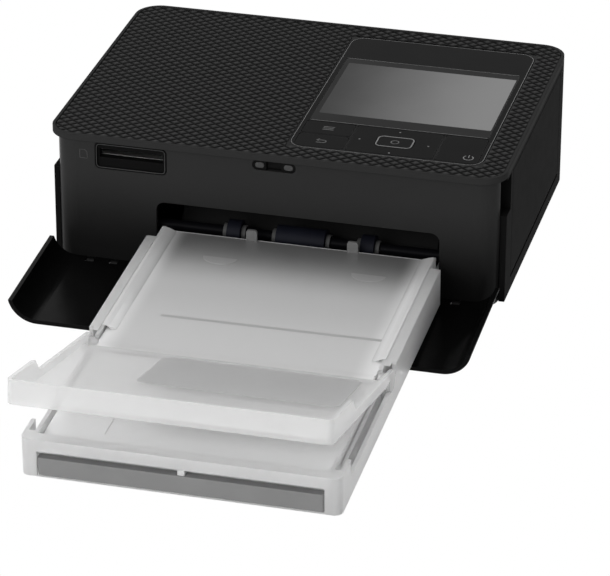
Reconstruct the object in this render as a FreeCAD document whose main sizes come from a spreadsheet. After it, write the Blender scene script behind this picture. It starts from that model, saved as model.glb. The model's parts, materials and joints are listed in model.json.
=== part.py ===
"""Compact photo printer with an open front cover and a folding paper cassette.

Millimetres. X runs to the right, Y to the back and Z up. The origin is under the middle
of the whole object, on the surface that it stands on.
"""
import FreeCAD, Part
import math
import os
import Sketcher
from FreeCAD import Placement, Rotation, Vector

doc = FreeCAD.newDocument("PhotoPrinter")
sheet = doc.addObject("Spreadsheet::Sheet", "Sizes")

SIZES = [
    # Case
    ("bodyWidth", 182.2, "outside width of the case"),
    ("bodyDepth", 133.0, "outside depth of the case"),
    ("bodyHeight", 57.6, "top of the rim above the desk"),
    ("widthShare", "=bodyWidth / 182.2", "width against the real case's"),
    ("depthShare", "=bodyDepth / 133", "depth against the real case's"),
    ("caseRise", 1.7, "lower edge of the case above the desk"),
    ("caseWall", 2.2, "wall of the case"),
    ("caseCorner", 10.5, "radius of the upright corners"),
    ("rimWidth", 1.2, "rim around the patterned top"),
    ("rimBand", 2.6, "height of the rim over the front"),
    ("topSink", 0.5, "patterned top below the rim"),
    ("topThick", 1.6, "plate of the patterned top"),
    ("seam", 0.2, "gap between fixed shells"),
    ("basePlate", 2.0, "floor of the case"),
    ("baseLip", 3.0, "upright edge of the floor"),
    # Front
    ("frontSetback", 1.7, "front shell behind the rim"),
    ("sideSetback", 2.4, "front shell inside the case sides"),
    ("stepDepth", 9.2, "length of the set back sides"),
    ("shellWall", 2.0, "wall of the front shell"),
    ("shellTongue", 5.0, "front shell inside the case"),
    ("mouthCentre", "=9.75 * widthShare", "middle of the cassette mouth"),
    ("mouthWidth", "=113.5 * widthShare", "width of the cassette mouth"),
    ("mouthTop", 31.5, "top of the cassette mouth"),
    ("mouthCorner", 3.5, "radius of the mouth's corners"),
    ("gripHeight", 15.4, "height of the finger recess"),
    ("gripTop", 54.0, "top of the finger recess"),
    ("gripLength", 7.3, "length of the finger recess"),
    ("gripDeep", 4.6, "depth of the finger recess"),
    ("cardMiddle", "=57.1 * widthShare", "card slot left of the middle"),
    ("cardLevel", 48.8, "middle of the card slot frame"),
    ("cardFrameWidth", 29.2, "card slot frame"),
    ("cardFrameHeight", 11.2, "card slot frame"),
    ("cardFrameCorner", 2.0, "card slot frame"),
    ("cardHoleWidth", 25.6, "card slot"),
    ("cardHoleHeight", 3.6, "card slot"),
    ("cardHoleRise", 0.9, "card slot above the frame's middle"),
    ("cardTubeDepth", 4.0, "card slot frame, front to back"),
    ("socketLength", "=28.0 * depthShare", "card socket, front to back"),
    ("socketThick", 0.5, "card socket's sheet metal"),
    ("latchMiddle", 0.65, "cover catch right of the middle"),
    ("latchLevel", 52.3, "middle of the cover catch"),
    ("latchWidth", 17.3, "window of the cover catch"),
    ("latchHeight", 4.2, "window of the cover catch"),
    ("latchDeep", 3.0, "catch housing, front to back"),
    ("latchEnd", 5.6, "each clear end of the catch housing"),
    # Front cover
    ("coverThick", 1.7, "plate of the front cover"),
    ("coverProud", 0.4, "closed cover in front of the rim"),
    ("coverWrap", 9.2, "side wall of the front cover"),
    ("coverCorner", 11.5, "corners of the front cover"),
    ("coverLength", 51.7, "hinge axis to the free edge"),
    ("coverHingeLevel", 3.0, "cover hinge above the desk"),
    ("coverTail", 1.2, "plate past the hinge axis"),
    ("coverDroopAngle", 2.7, "open cover below level, degrees"),
    ("coverPinRadius", 0.6, "hinge pin"),
    ("coverBarrelRadius", 1.3, "hinge barrel"),
    ("coverBarrelLength", 6.0, "hinge barrel"),
    ("coverLugLength", 3.0, "lug beside the barrel"),
    ("coverHingeSpread", "=bodyWidth / 2 - coverHingeInset", "hinge barrels from the middle"),
    ("coverHingeInset", 22.1, "hinge barrels from the case's sides"),
    ("coverRibHeight", 0.6, "stiffening rib inside the cover"),
    ("runningGap", 0.05, "radial clearance of a turning pin"),
    ("freeGap", 0.35, "gap between moving pieces"),
    # Side door
    ("doorStart", 20.0, "door behind the front plane"),
    ("doorLength", "=bodyDepth - doorStart - doorRear", "side door"),
    ("doorRear", 17.0, "side door to the case's back"),
    ("doorBottom", 7.0, "lower edge of the side door"),
    ("doorTop", 53.4, "upper edge of the side door"),
    ("doorThick", 2.0, "side door"),
    ("doorAxisInset", 1.2, "door axis inside its faces"),
    ("doorPinRadius", 0.7, "door pins"),
    ("doorPinLength", 1.6, "door pins"),
    ("doorCatchLength", 12.0, "catch tongue on the door"),
    # Control panel
    ("panelLeft", 3.2, "left edge of the control panel"),
    ("panelWidth", "=bodyWidth / 2 - panelLeft - panelSide", "control panel"),
    ("panelStart", 12.0, "control panel behind the front plane"),
    ("panelDepth", "=bodyDepth - panelStart - panelRear", "control panel"),
    ("panelSide", 11.2, "control panel to the case's right side"),
    ("panelRear", 11.0, "control panel to the case's back"),
    ("panelCorner", 6.5, "control panel"),
    ("panelThick", 1.6, "control panel"),
    ("panelGap", 0.3, "gap round the control panel"),
    ("panelFlange", 2.0, "ledge under the control panel"),
    ("glassInset", 2.4, "display glass inside the panel"),
    ("glassStart", 37.9, "display glass behind the front plane"),
    ("glassDepth", "=bodyDepth - glassStart - glassRear", "display glass"),
    ("glassRear", 32.9, "display glass to the case's back"),
    ("glassThick", 1.0, "display glass"),
    ("screenInset", 4.3, "screen inside the glass"),
    ("screenThick", 3.0, "screen module"),
    ("keyGap", 0.25, "gap round each key"),
    ("keyThick", 1.2, "key cap"),
    ("keyRound", 1.5, "corner of a key"),
    ("keyInset", 2.0, "keys inside the panel"),
    ("keyStart", 13.6, "keys behind the front plane"),
    ("keyDepth", 23.4, "row of keys, front to back"),
    ("leftKeyWidth", "=19.6 * widthShare", "menu and back keys"),
    ("padWidth", "=34.4 * widthShare", "direction pad"),
    ("okWidth", 15.0, "middle key"),
    ("okDepth", 10.0, "middle key"),
    ("okRound", 3.2, "corner of the middle key"),
    ("stemRadius", 1.3, "stem under a key"),
    ("stemLength", 1.4, "stem under a key"),
    ("boardThick", 1.2, "circuit boards"),
    ("keyTravel", 0.4, "travel of a key"),
    ("domeRadius", 2.0, "switch under a key"),
    ("domeHeight", 0.5, "switch under a key"),
    # Cassette
    ("cassetteLevel", 6.5, "cassette's underside at the front plane"),
    ("cassetteTiltAngle", 1.58, "cassette falls to its front, degrees"),
    ("cassetteCentre", "=10.55 * widthShare", "middle of the cassette"),
    ("cassetteWidth", "=117.5 * widthShare", "cassette"),
    ("cassetteFront", "=paperLength + paperPlay - cassetteRear", "cassette in front of the printer"),
    ("paperPlay", 6.4, "cassette longer than the sheets"),
    ("cassetteRear", 16.5, "cassette inside the printer"),
    ("tongueWidth", "=109.8 * widthShare", "narrow rear part of the cassette"),
    ("tongueStart", 7.6, "wide part ends before the front plane"),
    ("tubWall", 1.5, "walls of the cassette"),
    ("tubFloor", 1.4, "floor of the cassette"),
    ("tubHeight", 15.0, "tall walls of the cassette"),
    ("lowWall", 8.0, "side walls under the catch tray"),
    ("cornerPost", 14.0, "tall corner at the front"),
    ("lidTop", 13.7, "top of the inner lid"),
    ("lidThick", 1.4, "inner lid"),
    ("lidRear", 1.2, "inner lid behind the front plane"),
    ("lidGap", 0.4, "gap beside the inner lid"),
    ("lidLipHeight", 0.9, "edge bead along the inner lid"),
    ("lidLipWidth", 1.2, "edge bead along the inner lid"),
    ("tabWidth", 4.3, "finger tab of the lid"),
    ("tabRise", 4.6, "finger tab of the lid"),
    ("tabThick", 1.2, "finger tab of the lid"),
    ("tabFirst", "=18.4 * widthShare", "left tab from the cassette's middle"),
    ("tabSecond", "=22.1 * widthShare", "right tab from the cassette's middle"),
    ("rearWall", 6.6, "side walls inside the printer"),
    ("deckTop", 11.7, "top of the fixed front deck"),
    ("deckThick", 1.4, "fixed front deck"),
    ("deckFront", 4.2, "deck behind the cassette's front"),
    ("barHeight", 7.0, "front bar"),
    ("barRise", 0.8, "front bar above the underside"),
    ("barThick", 3.4, "front bar"),
    ("barWidth", "=104.9 * widthShare", "front bar"),
    # Catch tray
    ("trayHinge", 88.0, "tray hinge before the front plane"),
    ("trayHingeRise", 11.0, "tray hinge above the underside"),
    ("traySlopeAngle", 14.1, "tray rises to its front, degrees"),
    ("trayLength", 94.0, "hinge axis to the lip"),
    ("trayStart", 6.0, "tray floor before the hinge axis"),
    ("trayDrop", 0.2, "tray's underside below the hinge axis"),
    ("trayFloor", 1.4, "tray floor"),
    ("trayWall", 1.5, "tray walls"),
    ("trayWallTop", 4.2, "low wall above the hinge axis"),
    ("trayEarTop", 9.0, "lip and ears above the hinge axis"),
    ("trayEarStart", 60.3, "ears from the hinge axis"),
    ("trayEarSlope", 5.6, "run of the ears' sloping end"),
    ("trayLean", 1.3, "lip leans outwards"),
    ("trayCorner", 3.0, "upright corners of the lip"),
    ("trayPinRadius", 1.1, "hinge pins of tray and lid"),
    ("trayArmRadius", 2.6, "hinge eyes"),
    # Paper
    ("paperLength", 176.0, "sheet with its two tear-off ends"),
    ("paperWidth", "=100.0 * widthShare", "sheet"),
    ("paperThick", 2.0, "stack of sheets"),
    ("plateThick", 0.8, "plate under the sheets"),
]
SIZES += [
    # Frame and rollers
    ("plateSheet", 1.2, "side plates"),
    ("plateLeft", "=50.0 * widthShare", "left side plate from the middle"),
    ("plateRight", "=69.5 * widthShare", "right side plate from the middle"),
    ("plateStart", 5.0, "side plates behind the front plane"),
    ("plateLength", "=bodyDepth - plateStart - plateRear", "side plates"),
    ("plateRear", 16.0, "side plates to the case's back"),
    ("plateHeight", 41.0, "left side plate"),
    ("bridgeThick", 3.0, "right side plate over the ribbon's window"),
    ("stayWidth", 9.0, "cross stay"),
    ("pathLevel", 26.0, "paper path"),
    ("shaftRadius", 2.2, "roller shafts"),
    ("pickupDepth", "=frontSetback + shellWall + 5.8 * depthShare", "pickup shaft behind the front plane"),
    ("pickupLevel", 18.4, "pickup shaft above the desk"),
    ("pickupRadius", 5.0, "pickup tyres"),
    ("pickupWide", 19.6, "middle tyre"),
    ("pickupNarrow", 5.4, "outer tyres"),
    ("pickupSpread", "=26.9 * widthShare", "outer tyres from the middle one"),
    ("pickupCentre", "=10.05 * widthShare", "middle tyre from the middle of the case"),
    ("collarRadius", 3.2, "collars beside the tyres"),
    ("collarLength", 1.6, "collars beside the tyres"),
    ("capstanDepth", "=34.0 * depthShare", "capstan behind the front plane"),
    ("capstanRadius", 4.0, "capstan"),
    ("pinchDepth", "=31.0 * depthShare", "pinch roller behind the front plane"),
    ("pinchRadius", 3.0, "pinch roller"),
    ("platenDepth", "=62.0 * depthShare", "platen behind the front plane"),
    ("platenRadius", 6.0, "platen"),
    ("nipGap", 0.35, "gap where the paper passes"),
    ("printWidth", "=104.0 * widthShare", "platen, head and capstan"),
    ("printCentre", "=9.75 * widthShare", "middle of the paper path"),
    ("headThick", 5.0, "thermal head block"),
    ("headDeep", "=14.0 * depthShare", "thermal head block"),
    ("headLift", 7.0, "raised head above the paper path"),
    ("headBead", 0.7, "heater line under the head"),
    ("sinkHeight", 9.0, "heat sink"),
    ("finThick", 1.2, "heat sink fin"),
    ("guideThick", 1.0, "paper guides"),
    # Gears
    ("gearModule", "=0.8 * depthShare", "gear teeth"),
    ("platenTeethCount", 20, "platen gear's teeth"),
    ("idlerTeethCount", 16, "each idler's teeth"),
    ("capstanTeethCount", 20, "capstan gear's teeth"),
    ("pickupTeethCount", 12, "pickup gear's teeth"),
    ("pinionTeethCount", 10, "motor pinion's teeth"),
    ("gearWide", 4.0, "gears"),
    ("gearOffset", 1.6, "gears left of the side plate"),
    ("idlerPinRadius", 1.5, "idler pins"),
    ("motorRadius", "=10.0 * depthShare", "feed motor"),
    ("motorLength", 20.0, "feed motor"),
    ("motorShaftRadius", 1.0, "motor shaft"),
    # Ribbon cassette
    ("supplyDepth", "=44.5 * depthShare", "supply spool behind the front plane"),
    ("takeupDepth", "=85.0 * depthShare", "take-up spool behind the front plane"),
    ("spoolsDown", 10.5, "ribbon tubes below the rim"),
    ("spoolLevel", "=bodyHeight - spoolsDown - ribbonTube", "ribbon spools above the desk"),
    ("ribbonTube", "=8.6 * depthShare", "ribbon cassette's tubes"),
    ("ribbonWall", 1.0, "ribbon cassette"),
    ("ribbonLeft", "=47.0 * widthShare", "ribbon cassette's left end from the middle"),
    ("ribbonRight", "=67.5 * widthShare", "ribbon cassette's tubes to the right"),
    ("ribbonArmThick", 3.0, "bridges between the tubes"),
    ("ribbonArmHeight", 4.4, "bridges between the tubes"),
    ("ribbonArmLevel", 27.4, "bridges above the desk"),
    ("ribbonGrip", 11.0, "grip to the right of the tubes"),
    ("ribbonMouth", "=9.0 * depthShare", "slot that the film leaves by"),
    ("spoolRadius", "=5.6 * depthShare", "film on its spool"),
    ("spoolCore", "=3.0 * depthShare", "spool core"),
    ("spoolEnd", 1.6, "play at each end of a spool"),
    ("filmThick", 0.2, "film"),
    ("leverLength", 13.0, "ribbon lever"),
    ("leverThick", 2.4, "ribbon lever"),
    ("leverPinRadius", 1.2, "ribbon lever's pin"),
    # Rear and electronics
    ("rearSlotWidth", "=108.0 * widthShare", "rear paper slot"),
    ("rearSlotLevel", 21.5, "rear paper slot above the desk"),
    ("rearSlotHeight", 8.0, "rear paper slot"),
    ("ventCount", 9, "air slots in the back"),
    ("ventWidth", 2.0, "air slot"),
    ("ventHeight", 9.0, "air slot"),
    ("ventPitch", 5.0, "air slots"),
    ("ventLevel", 36.0, "air slots above the desk"),
    ("ventMiddle", "=40.0 * widthShare", "air slots right of the middle"),
    ("jackMiddle", "=bodyWidth / 2 - jackInset", "power inlet left of the middle"),
    ("jackInset", 17.1, "power inlet from the case's left side"),
    ("socketPitch", 11.5, "power inlet to the small socket"),
    ("jackLevel", 18.0, "sockets above the desk"),
    ("jackWidth", 9.0, "power inlet"),
    ("jackHeight", 9.0, "power inlet"),
    ("jackDeep", 13.0, "power inlet"),
    ("jackBore", 2.75, "power inlet"),
    ("jackPin", 0.8, "power inlet"),
    ("usbMiddle", "=jackMiddle - socketPitch", "small socket left of the middle"),
    ("usbWidth", 9.0, "small socket"),
    ("usbHeight", 3.3, "small socket"),
    ("usbDeep", 8.0, "small socket"),
    ("hostStart", "=bodyDepth - hostRear", "wide socket behind the front plane"),
    ("hostRear", 37.0, "wide socket to the case's back"),
    ("hostWidth", 14.4, "wide socket"),
    ("hostHeight", 7.0, "wide socket"),
    ("hostDeep", 14.0, "wide socket"),
    ("mainBoardLength", "=32.0 * depthShare", "main board"),
    ("mainBoardWidth", "=26.0 * widthShare", "main board"),
    ("boardsApart", 4.0, "gap between the two boards"),
    ("mainBoardStart", "=hostStart - mainBoardLength - boardsApart", "main board behind the front plane"),
    ("mainBoardLevel", 9.0, "main board above the desk"),
    ("chipSize", 9.0, "processor"),
    ("chipThick", 1.2, "processor"),
    # Feet and screws
    ("footRadius", 5.5, "rubber feet"),
    ("footInset", 15.0, "rubber feet from the case's faces"),
    ("screwRadius", 1.5, "case screws"),
    ("screwHead", 2.8, "case screws"),
    ("screwHeadThick", 1.1, "case screws"),
    ("screwLength", 6.0, "case screws"),
    ("bossRadius", 3.4, "screw bosses"),
]


class Size:
    """A value of the sheet, or a sum of such values: its expression and its number."""

    def __init__(self, text, number):
        self.text = text
        self.number = number

    def joined(self, sign, other, number):
        return Size("(%s %s %s)" % (self.text, sign, other.text), number)

    def __add__(self, other):
        other = as_size(other)
        return self.joined("+", other, self.number + other.number)

    def __sub__(self, other):
        other = as_size(other)
        return self.joined("-", other, self.number - other.number)

    def __mul__(self, other):
        other = as_size(other)
        return self.joined("*", other, self.number * other.number)

    def __truediv__(self, other):
        other = as_size(other)
        return self.joined("/", other, self.number / other.number)

    def __neg__(self):
        return Size("(0 - %s)" % self.text, -self.number)

    def __radd__(self, other):
        return as_size(other) + self

    def __rsub__(self, other):
        return as_size(other) - self

    def __rmul__(self, other):
        return as_size(other) * self


def as_size(value):
    return value if isinstance(value, Size) else Size(repr(float(value)), float(value))


def sine(angle):
    return Size("sin(%s * 1 deg)" % angle.text, math.sin(math.radians(angle.number)))


def cosine(angle):
    return Size("cos(%s * 1 deg)" % angle.text, math.cos(math.radians(angle.number)))


for line, (alias, value, note) in enumerate(SIZES, start=1):
    sheet.set("A%d" % line, alias)
    sheet.set("C%d" % line, note)
    sheet.setAlias("B%d" % line, alias)
for line, (alias, value, note) in enumerate(SIZES, start=1):
    sheet.set("B%d" % line, str(value))
doc.recompute()


class Sheet:
    """The driving sizes by name."""

    def __getattr__(self, alias):
        return Size("Sizes." + alias, float(sheet.get(alias)))


S = Sheet()
NEAR = S.filmThick.number / 10
nodes = []


# Building blocks

def bind(item, prop, size):
    item.setExpression(prop, as_size(size).text)


def put(item, place, rotation=None):
    """Set an item's turn and bind its place."""
    if rotation is not None:
        item.Placement = Placement(Vector(), rotation)
    for axis, size in zip("xyz", place):
        bind(item, "Placement.Base." + axis, size)
    return item


def node(item, name):
    """Name a finished sub-part."""
    item.Label = name
    nodes.append(item)
    return item


def block(place, lengths):
    item = doc.addObject("Part::Box", "Block")
    for prop, size in zip(("Length", "Width", "Height"), lengths):
        bind(item, prop, size)
    return put(item, place)


TURNS = {
    "X": Rotation(Vector(0, 1, 0), 90),
    "Y": Rotation(Vector(1, 0, 0), -90),
    "Z": Rotation(),
}


def rod(axis, radius, length, place):
    item = doc.addObject("Part::Cylinder", "Rod")
    bind(item, "Radius", radius)
    bind(item, "Height", length)
    return put(item, place, TURNS[axis])


def fused(*items):
    item = doc.addObject("Part::MultiFuse", "Fused")
    item.Shapes = list(items)
    item.Refine = True
    return item


def cut(base, *tools):
    item = doc.addObject("Part::Cut", "Cut")
    item.Base = base
    item.Tool = tools[0] if len(tools) == 1 else fused(*tools)
    item.Refine = True
    return item


def rounded(base, radius, wanted):
    """Fillet the edges of base that wanted(edge) picks."""
    doc.recompute()
    item = doc.addObject("Part::Fillet", "Rounded")
    item.Base = base
    picked = []
    for number, edge in enumerate(base.Shape.Edges, start=1):
        if wanted(edge):
            picked.append((number, radius.number, radius.number))
    item.Edges = picked
    return item


def runs_along(edge, axis):
    start = edge.Vertexes[0].Point
    end = edge.Vertexes[-1].Point
    span = (end - start).normalize() if (end - start).Length > 0 else Vector()
    return abs(span.dot(axis)) > 0.999 and edge.Curve.TypeId == "Part::GeomLine"


PLANES = {
    "XY": ("XY_Plane", Vector(0, 0, 1), False),
    "XZ": ("XZ_Plane", Vector(0, 1, 0), True),
    "YZ": ("YZ_Plane", Vector(1, 0, 0), False),
}


def sketched(body, plane, points):
    """A closed outline of straight lines, each corner bound to its two sizes."""
    sketch = body.newObject("Sketcher::SketchObject", "Outline")
    role = PLANES[plane][0]
    support = [item for item in body.Origin.OriginFeatures if item.Role == role][0]
    sketch.AttachmentSupport = [(support, "")]
    sketch.MapMode = "FlatFace"
    spots = [Vector(as_size(a).number, as_size(b).number, 0) for a, b in points]
    count = len(points)
    for index in range(count):
        sketch.addGeometry(Part.LineSegment(spots[index], spots[(index + 1) % count]), False)
    for index in range(count):
        after = (index + 1) % count
        sketch.addConstraint(Sketcher.Constraint("Coincident", index, 2, after, 1))
    for index, (a, b) in enumerate(points):
        for kind, size, number in (("DistanceX", a, spots[index].x), ("DistanceY", b, spots[index].y)):
            sketch.addConstraint(Sketcher.Constraint(kind, -1, 1, index, 1, number))
            bind(sketch, "Constraints[%d]" % (sketch.ConstraintCount - 1), size)
    return sketch


def prism(plane, points, depth, place, rounds=()):
    """A body padded from an outline. rounds lists (radius, corner numbers)."""
    body = doc.addObject("PartDesign::Body", "Body")
    sketch = sketched(body, plane, points)
    pad = body.newObject("PartDesign::Pad", "Pad")
    pad.Profile = sketch
    bind(pad, "Length", depth)
    pad.Reversed = PLANES[plane][2]
    doc.recompute()
    tip = pad
    normal = PLANES[plane][1]
    for radius, corners in rounds:
        before = tip
        spots = [(as_size(points[i][0]).number, as_size(points[i][1]).number) for i in corners]
        names = []
        for number, edge in enumerate(before.Shape.Edges, start=1):
            spot = edge.Vertexes[0].Point
            flat = {"XY": (spot.x, spot.y), "XZ": (spot.x, spot.z), "YZ": (spot.y, spot.z)}[plane]
            if runs_along(edge, normal) and min(math.dist(flat, one) for one in spots) < NEAR:
                names.append("Edge%d" % number)
        tip = body.newObject("PartDesign::Fillet", "Round")
        tip.Base = (before, names)
        bind(tip, "Radius", radius)
        body.Tip = tip
        doc.recompute()
    return put(body, place)


def slab(plane, a, b, width, height, depth, place, radius=None):
    """A rectangle from (a, b), padded; all four corners take the radius."""
    points = [(a, b), (a + width, b), (a + width, b + height), (a, b + height)]
    rounds = [(radius, (0, 1, 2, 3))] if radius is not None else []
    return prism(plane, points, depth, place, rounds)


def turned(axis, points, place):
    """A body revolved about its own X or Z axis from (along, radius) points."""
    body = doc.addObject("PartDesign::Body", "Body")
    if axis == "X":
        sketch = sketched(body, "XY", points)
        line = "H_Axis"
    else:
        sketch = sketched(body, "XZ", [(radius, along) for along, radius in points])
        line = "V_Axis"
    spin = body.newObject("PartDesign::Revolution", "Spin")
    spin.Profile = sketch
    spin.ReferenceAxis = (sketch, [line])
    return put(body, place)


def stepped(axis, start, steps, place):
    """A turned shaft from (length, radius) steps laid end to end."""
    points = [(start, 0)]
    along = as_size(start)
    for length, radius in steps:
        points.append((along, radius))
        along = along + length
        points.append((along, radius))
    points.append((along, 0))
    return turned(axis, points, place)


# Places that several pieces share

TILT = S.cassetteTiltAngle
SLOPE = S.traySlopeAngle
REACH = (S.trayHinge * cosine(TILT) + S.trayHingeRise * sine(TILT)
         + S.trayLength * cosine(SLOPE) + S.trayDrop * sine(SLOPE))
FRONT = (REACH - S.bodyDepth) / 2
BACK = FRONT + S.bodyDepth
SIDE = S.bodyWidth / 2
INNER = SIDE - S.caseWall
SHELL_SIDE = SIDE - S.sideSetback
SHELL_FACE = FRONT + S.frontSetback
BAND = S.bodyHeight - S.rimBand
OVER = S.caseWall * 2
MOUTH_LEFT = S.mouthCentre - S.mouthWidth / 2
MOUTH_RIGHT = S.mouthCentre + S.mouthWidth / 2
SILL = S.cassetteLevel - S.frontSetback
PLATE_IN_LEFT = -S.plateLeft
PLATE_IN_RIGHT = S.plateRight
LEVEL_TOP = S.bodyHeight - S.topSink
SOCKET_LEVEL = S.jackLevel - S.jackHeight / 2


def number_of(size):
    return size.number


def whole(size):
    return int(round(size.number))


# Case

def make_main_case():
    outer = slab("XY", -SIDE, 0, S.bodyWidth, S.bodyDepth, S.bodyHeight - S.caseRise,
                 (0, FRONT, S.caseRise), S.caseCorner)
    hollow = slab("XY", -INNER, 0, INNER * 2, S.bodyDepth - S.caseWall * 2,
                  BAND - S.caseRise + OVER * 2, (0, FRONT + S.caseWall, S.caseRise - OVER),
                  S.caseCorner - S.caseWall)
    well_side = SIDE - S.rimWidth
    well = slab("XY", -well_side, 0, well_side * 2, S.bodyDepth - S.rimWidth * 2, OVER * 2,
                (0, FRONT + S.rimWidth, S.bodyHeight - S.topSink - S.topThick), S.caseCorner - S.rimWidth)
    front = block((-SIDE - OVER, FRONT - OVER, 0), (S.bodyWidth + OVER * 2, S.stepDepth + OVER, BAND))
    door = block((INNER - OVER, FRONT + S.doorStart, S.doorBottom),
                 (OVER * 3, S.doorLength, S.doorTop - S.doorBottom))
    pin_holes = rod("Y", S.doorPinRadius + S.runningGap, S.doorLength + (S.doorPinLength + S.freeGap) * 2,
                    (SIDE - S.doorAxisInset, FRONT + S.doorStart - S.doorPinLength - S.freeGap,
                     S.doorBottom + S.freeGap + S.doorAxisInset))
    tools = [hollow, well, front, door, pin_holes]
    tools.append(block((S.printCentre - S.rearSlotWidth / 2, BACK - OVER, S.rearSlotLevel),
                       (S.rearSlotWidth, OVER * 2, S.rearSlotHeight)))
    count = whole(S.ventCount)
    for index in range(count):
        x = S.ventMiddle + S.ventPitch * (index - (count - 1) / 2) - S.ventWidth / 2
        tools.append(block((x, BACK - OVER, S.ventLevel), (S.ventWidth, OVER * 2, S.ventHeight)))
    tools.append(block((-S.jackMiddle - S.jackWidth / 2, BACK - OVER, SOCKET_LEVEL),
                       (S.jackWidth, OVER * 2, S.jackHeight)))
    tools.append(block((-S.usbMiddle - S.usbWidth / 2, BACK - OVER, SOCKET_LEVEL),
                       (S.usbWidth, OVER * 2, S.usbHeight)))
    tools.append(block((-SIDE - OVER, FRONT + S.hostStart, SOCKET_LEVEL),
                       (OVER * 2, S.hostWidth, S.hostHeight)))
    grips = []
    for side in (-1, 1):
        start = (SIDE + OVER) * side - (OVER + S.gripDeep) * max(side, 0)
        tools.append(block((start, FRONT + S.stepDepth - OVER, S.gripTop - S.gripHeight),
                           (OVER + S.gripDeep, S.gripLength + OVER, S.gripHeight)))
        inner = (SIDE - S.gripDeep) * side - S.shellWall * max(side, 0)
        grips.append(block((inner, FRONT + S.stepDepth, S.gripTop - S.gripHeight - S.shellWall),
                           (S.shellWall, S.gripLength + S.shellWall, S.gripHeight + S.shellWall)))
        floor = (SIDE - S.gripDeep) if side > 0 else -INNER
        grips.append(block((floor, FRONT + S.stepDepth, S.gripTop - S.gripHeight - S.shellWall),
                           (INNER - SIDE + S.gripDeep, S.gripLength + S.shellWall, S.shellWall)))
        grips.append(block((floor, FRONT + S.stepDepth + S.gripLength, S.gripTop - S.gripHeight),
                           (INNER - SIDE + S.gripDeep, S.shellWall, S.gripHeight)))
        grips.append(block((min(floor, inner, key=number_of), FRONT + S.stepDepth, S.gripTop),
                           (INNER - SIDE + S.gripDeep + S.shellWall, S.gripLength + S.shellWall,
                            BAND - S.gripTop)))
    shell = cut(outer, *tools)
    node(fused(shell, *grips), "main_case")


def make_top_cover():
    side = SIDE - S.rimWidth - S.seam
    plate = slab("XY", -side, 0, side * 2, S.bodyDepth - (S.rimWidth + S.seam) * 2, S.topThick,
                 (0, FRONT + S.rimWidth + S.seam, LEVEL_TOP - S.topThick),
                 S.caseCorner - S.rimWidth - S.seam)
    window = slab("XY", 0, 0, S.panelWidth + S.panelGap * 2, S.panelDepth + S.panelGap * 2, OVER * 2,
                  (S.panelLeft - S.panelGap, FRONT + S.panelStart - S.panelGap, LEVEL_TOP - OVER),
                  S.panelCorner + S.panelGap)
    node(cut(plate, window), "top_cover")


def make_front_shell():
    depth = S.stepDepth - S.frontSetback + S.shellTongue
    low = S.caseRise + S.basePlate + S.seam
    top = BAND - S.seam
    radius = S.caseCorner - S.sideSetback / 2
    outer = prism("XY", [(-SHELL_SIDE, 0), (SHELL_SIDE, 0), (SHELL_SIDE, depth), (-SHELL_SIDE, depth)],
                  top - low, (0, SHELL_FACE, low), [(radius, (0, 1))])
    inside = SHELL_SIDE - S.shellWall
    hollow = prism("XY", [(-inside, 0), (inside, 0), (inside, depth), (-inside, depth)],
                   top - low + OVER * 2, (0, SHELL_FACE + S.shellWall, low - OVER),
                   [(radius - S.shellWall, (0, 1))])
    mouth = slab("XZ", 0, 0, S.mouthWidth, S.mouthTop - SILL, OVER * 2,
                 (MOUTH_LEFT, SHELL_FACE - OVER, SILL), S.mouthCorner)
    card = slab("XZ", 0, 0, S.cardFrameWidth, S.cardFrameHeight, OVER * 2,
                (-S.cardMiddle - S.cardFrameWidth / 2, SHELL_FACE - OVER,
                 S.cardLevel - S.cardFrameHeight / 2),
                S.cardFrameCorner)
    latch = slab("XZ", 0, 0, S.latchWidth, S.latchHeight, OVER * 2,
                 (S.latchMiddle - S.latchWidth / 2, SHELL_FACE - OVER, S.latchLevel - S.latchHeight / 2),
                 S.latchHeight * 0.45)
    grips = []
    for side in (-1, 1):
        start = SHELL_SIDE - OVER if side > 0 else -SHELL_SIDE - OVER
        grips.append(block((start, FRONT + S.stepDepth - S.seam,
                            S.gripTop - S.gripHeight - S.shellWall - S.seam),
                           (OVER * 2, S.shellTongue + OVER, S.gripHeight + OVER * 2)))
    node(cut(outer, hollow, mouth, card, latch, *grips), "front_shell")


def lug_middle(side, lug):
    """Middle of one of the two lugs beside a hinge barrel."""
    reach = S.coverBarrelLength / 2 + S.freeGap + S.coverLugLength / 2
    return side * S.coverHingeSpread + lug * reach


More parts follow.
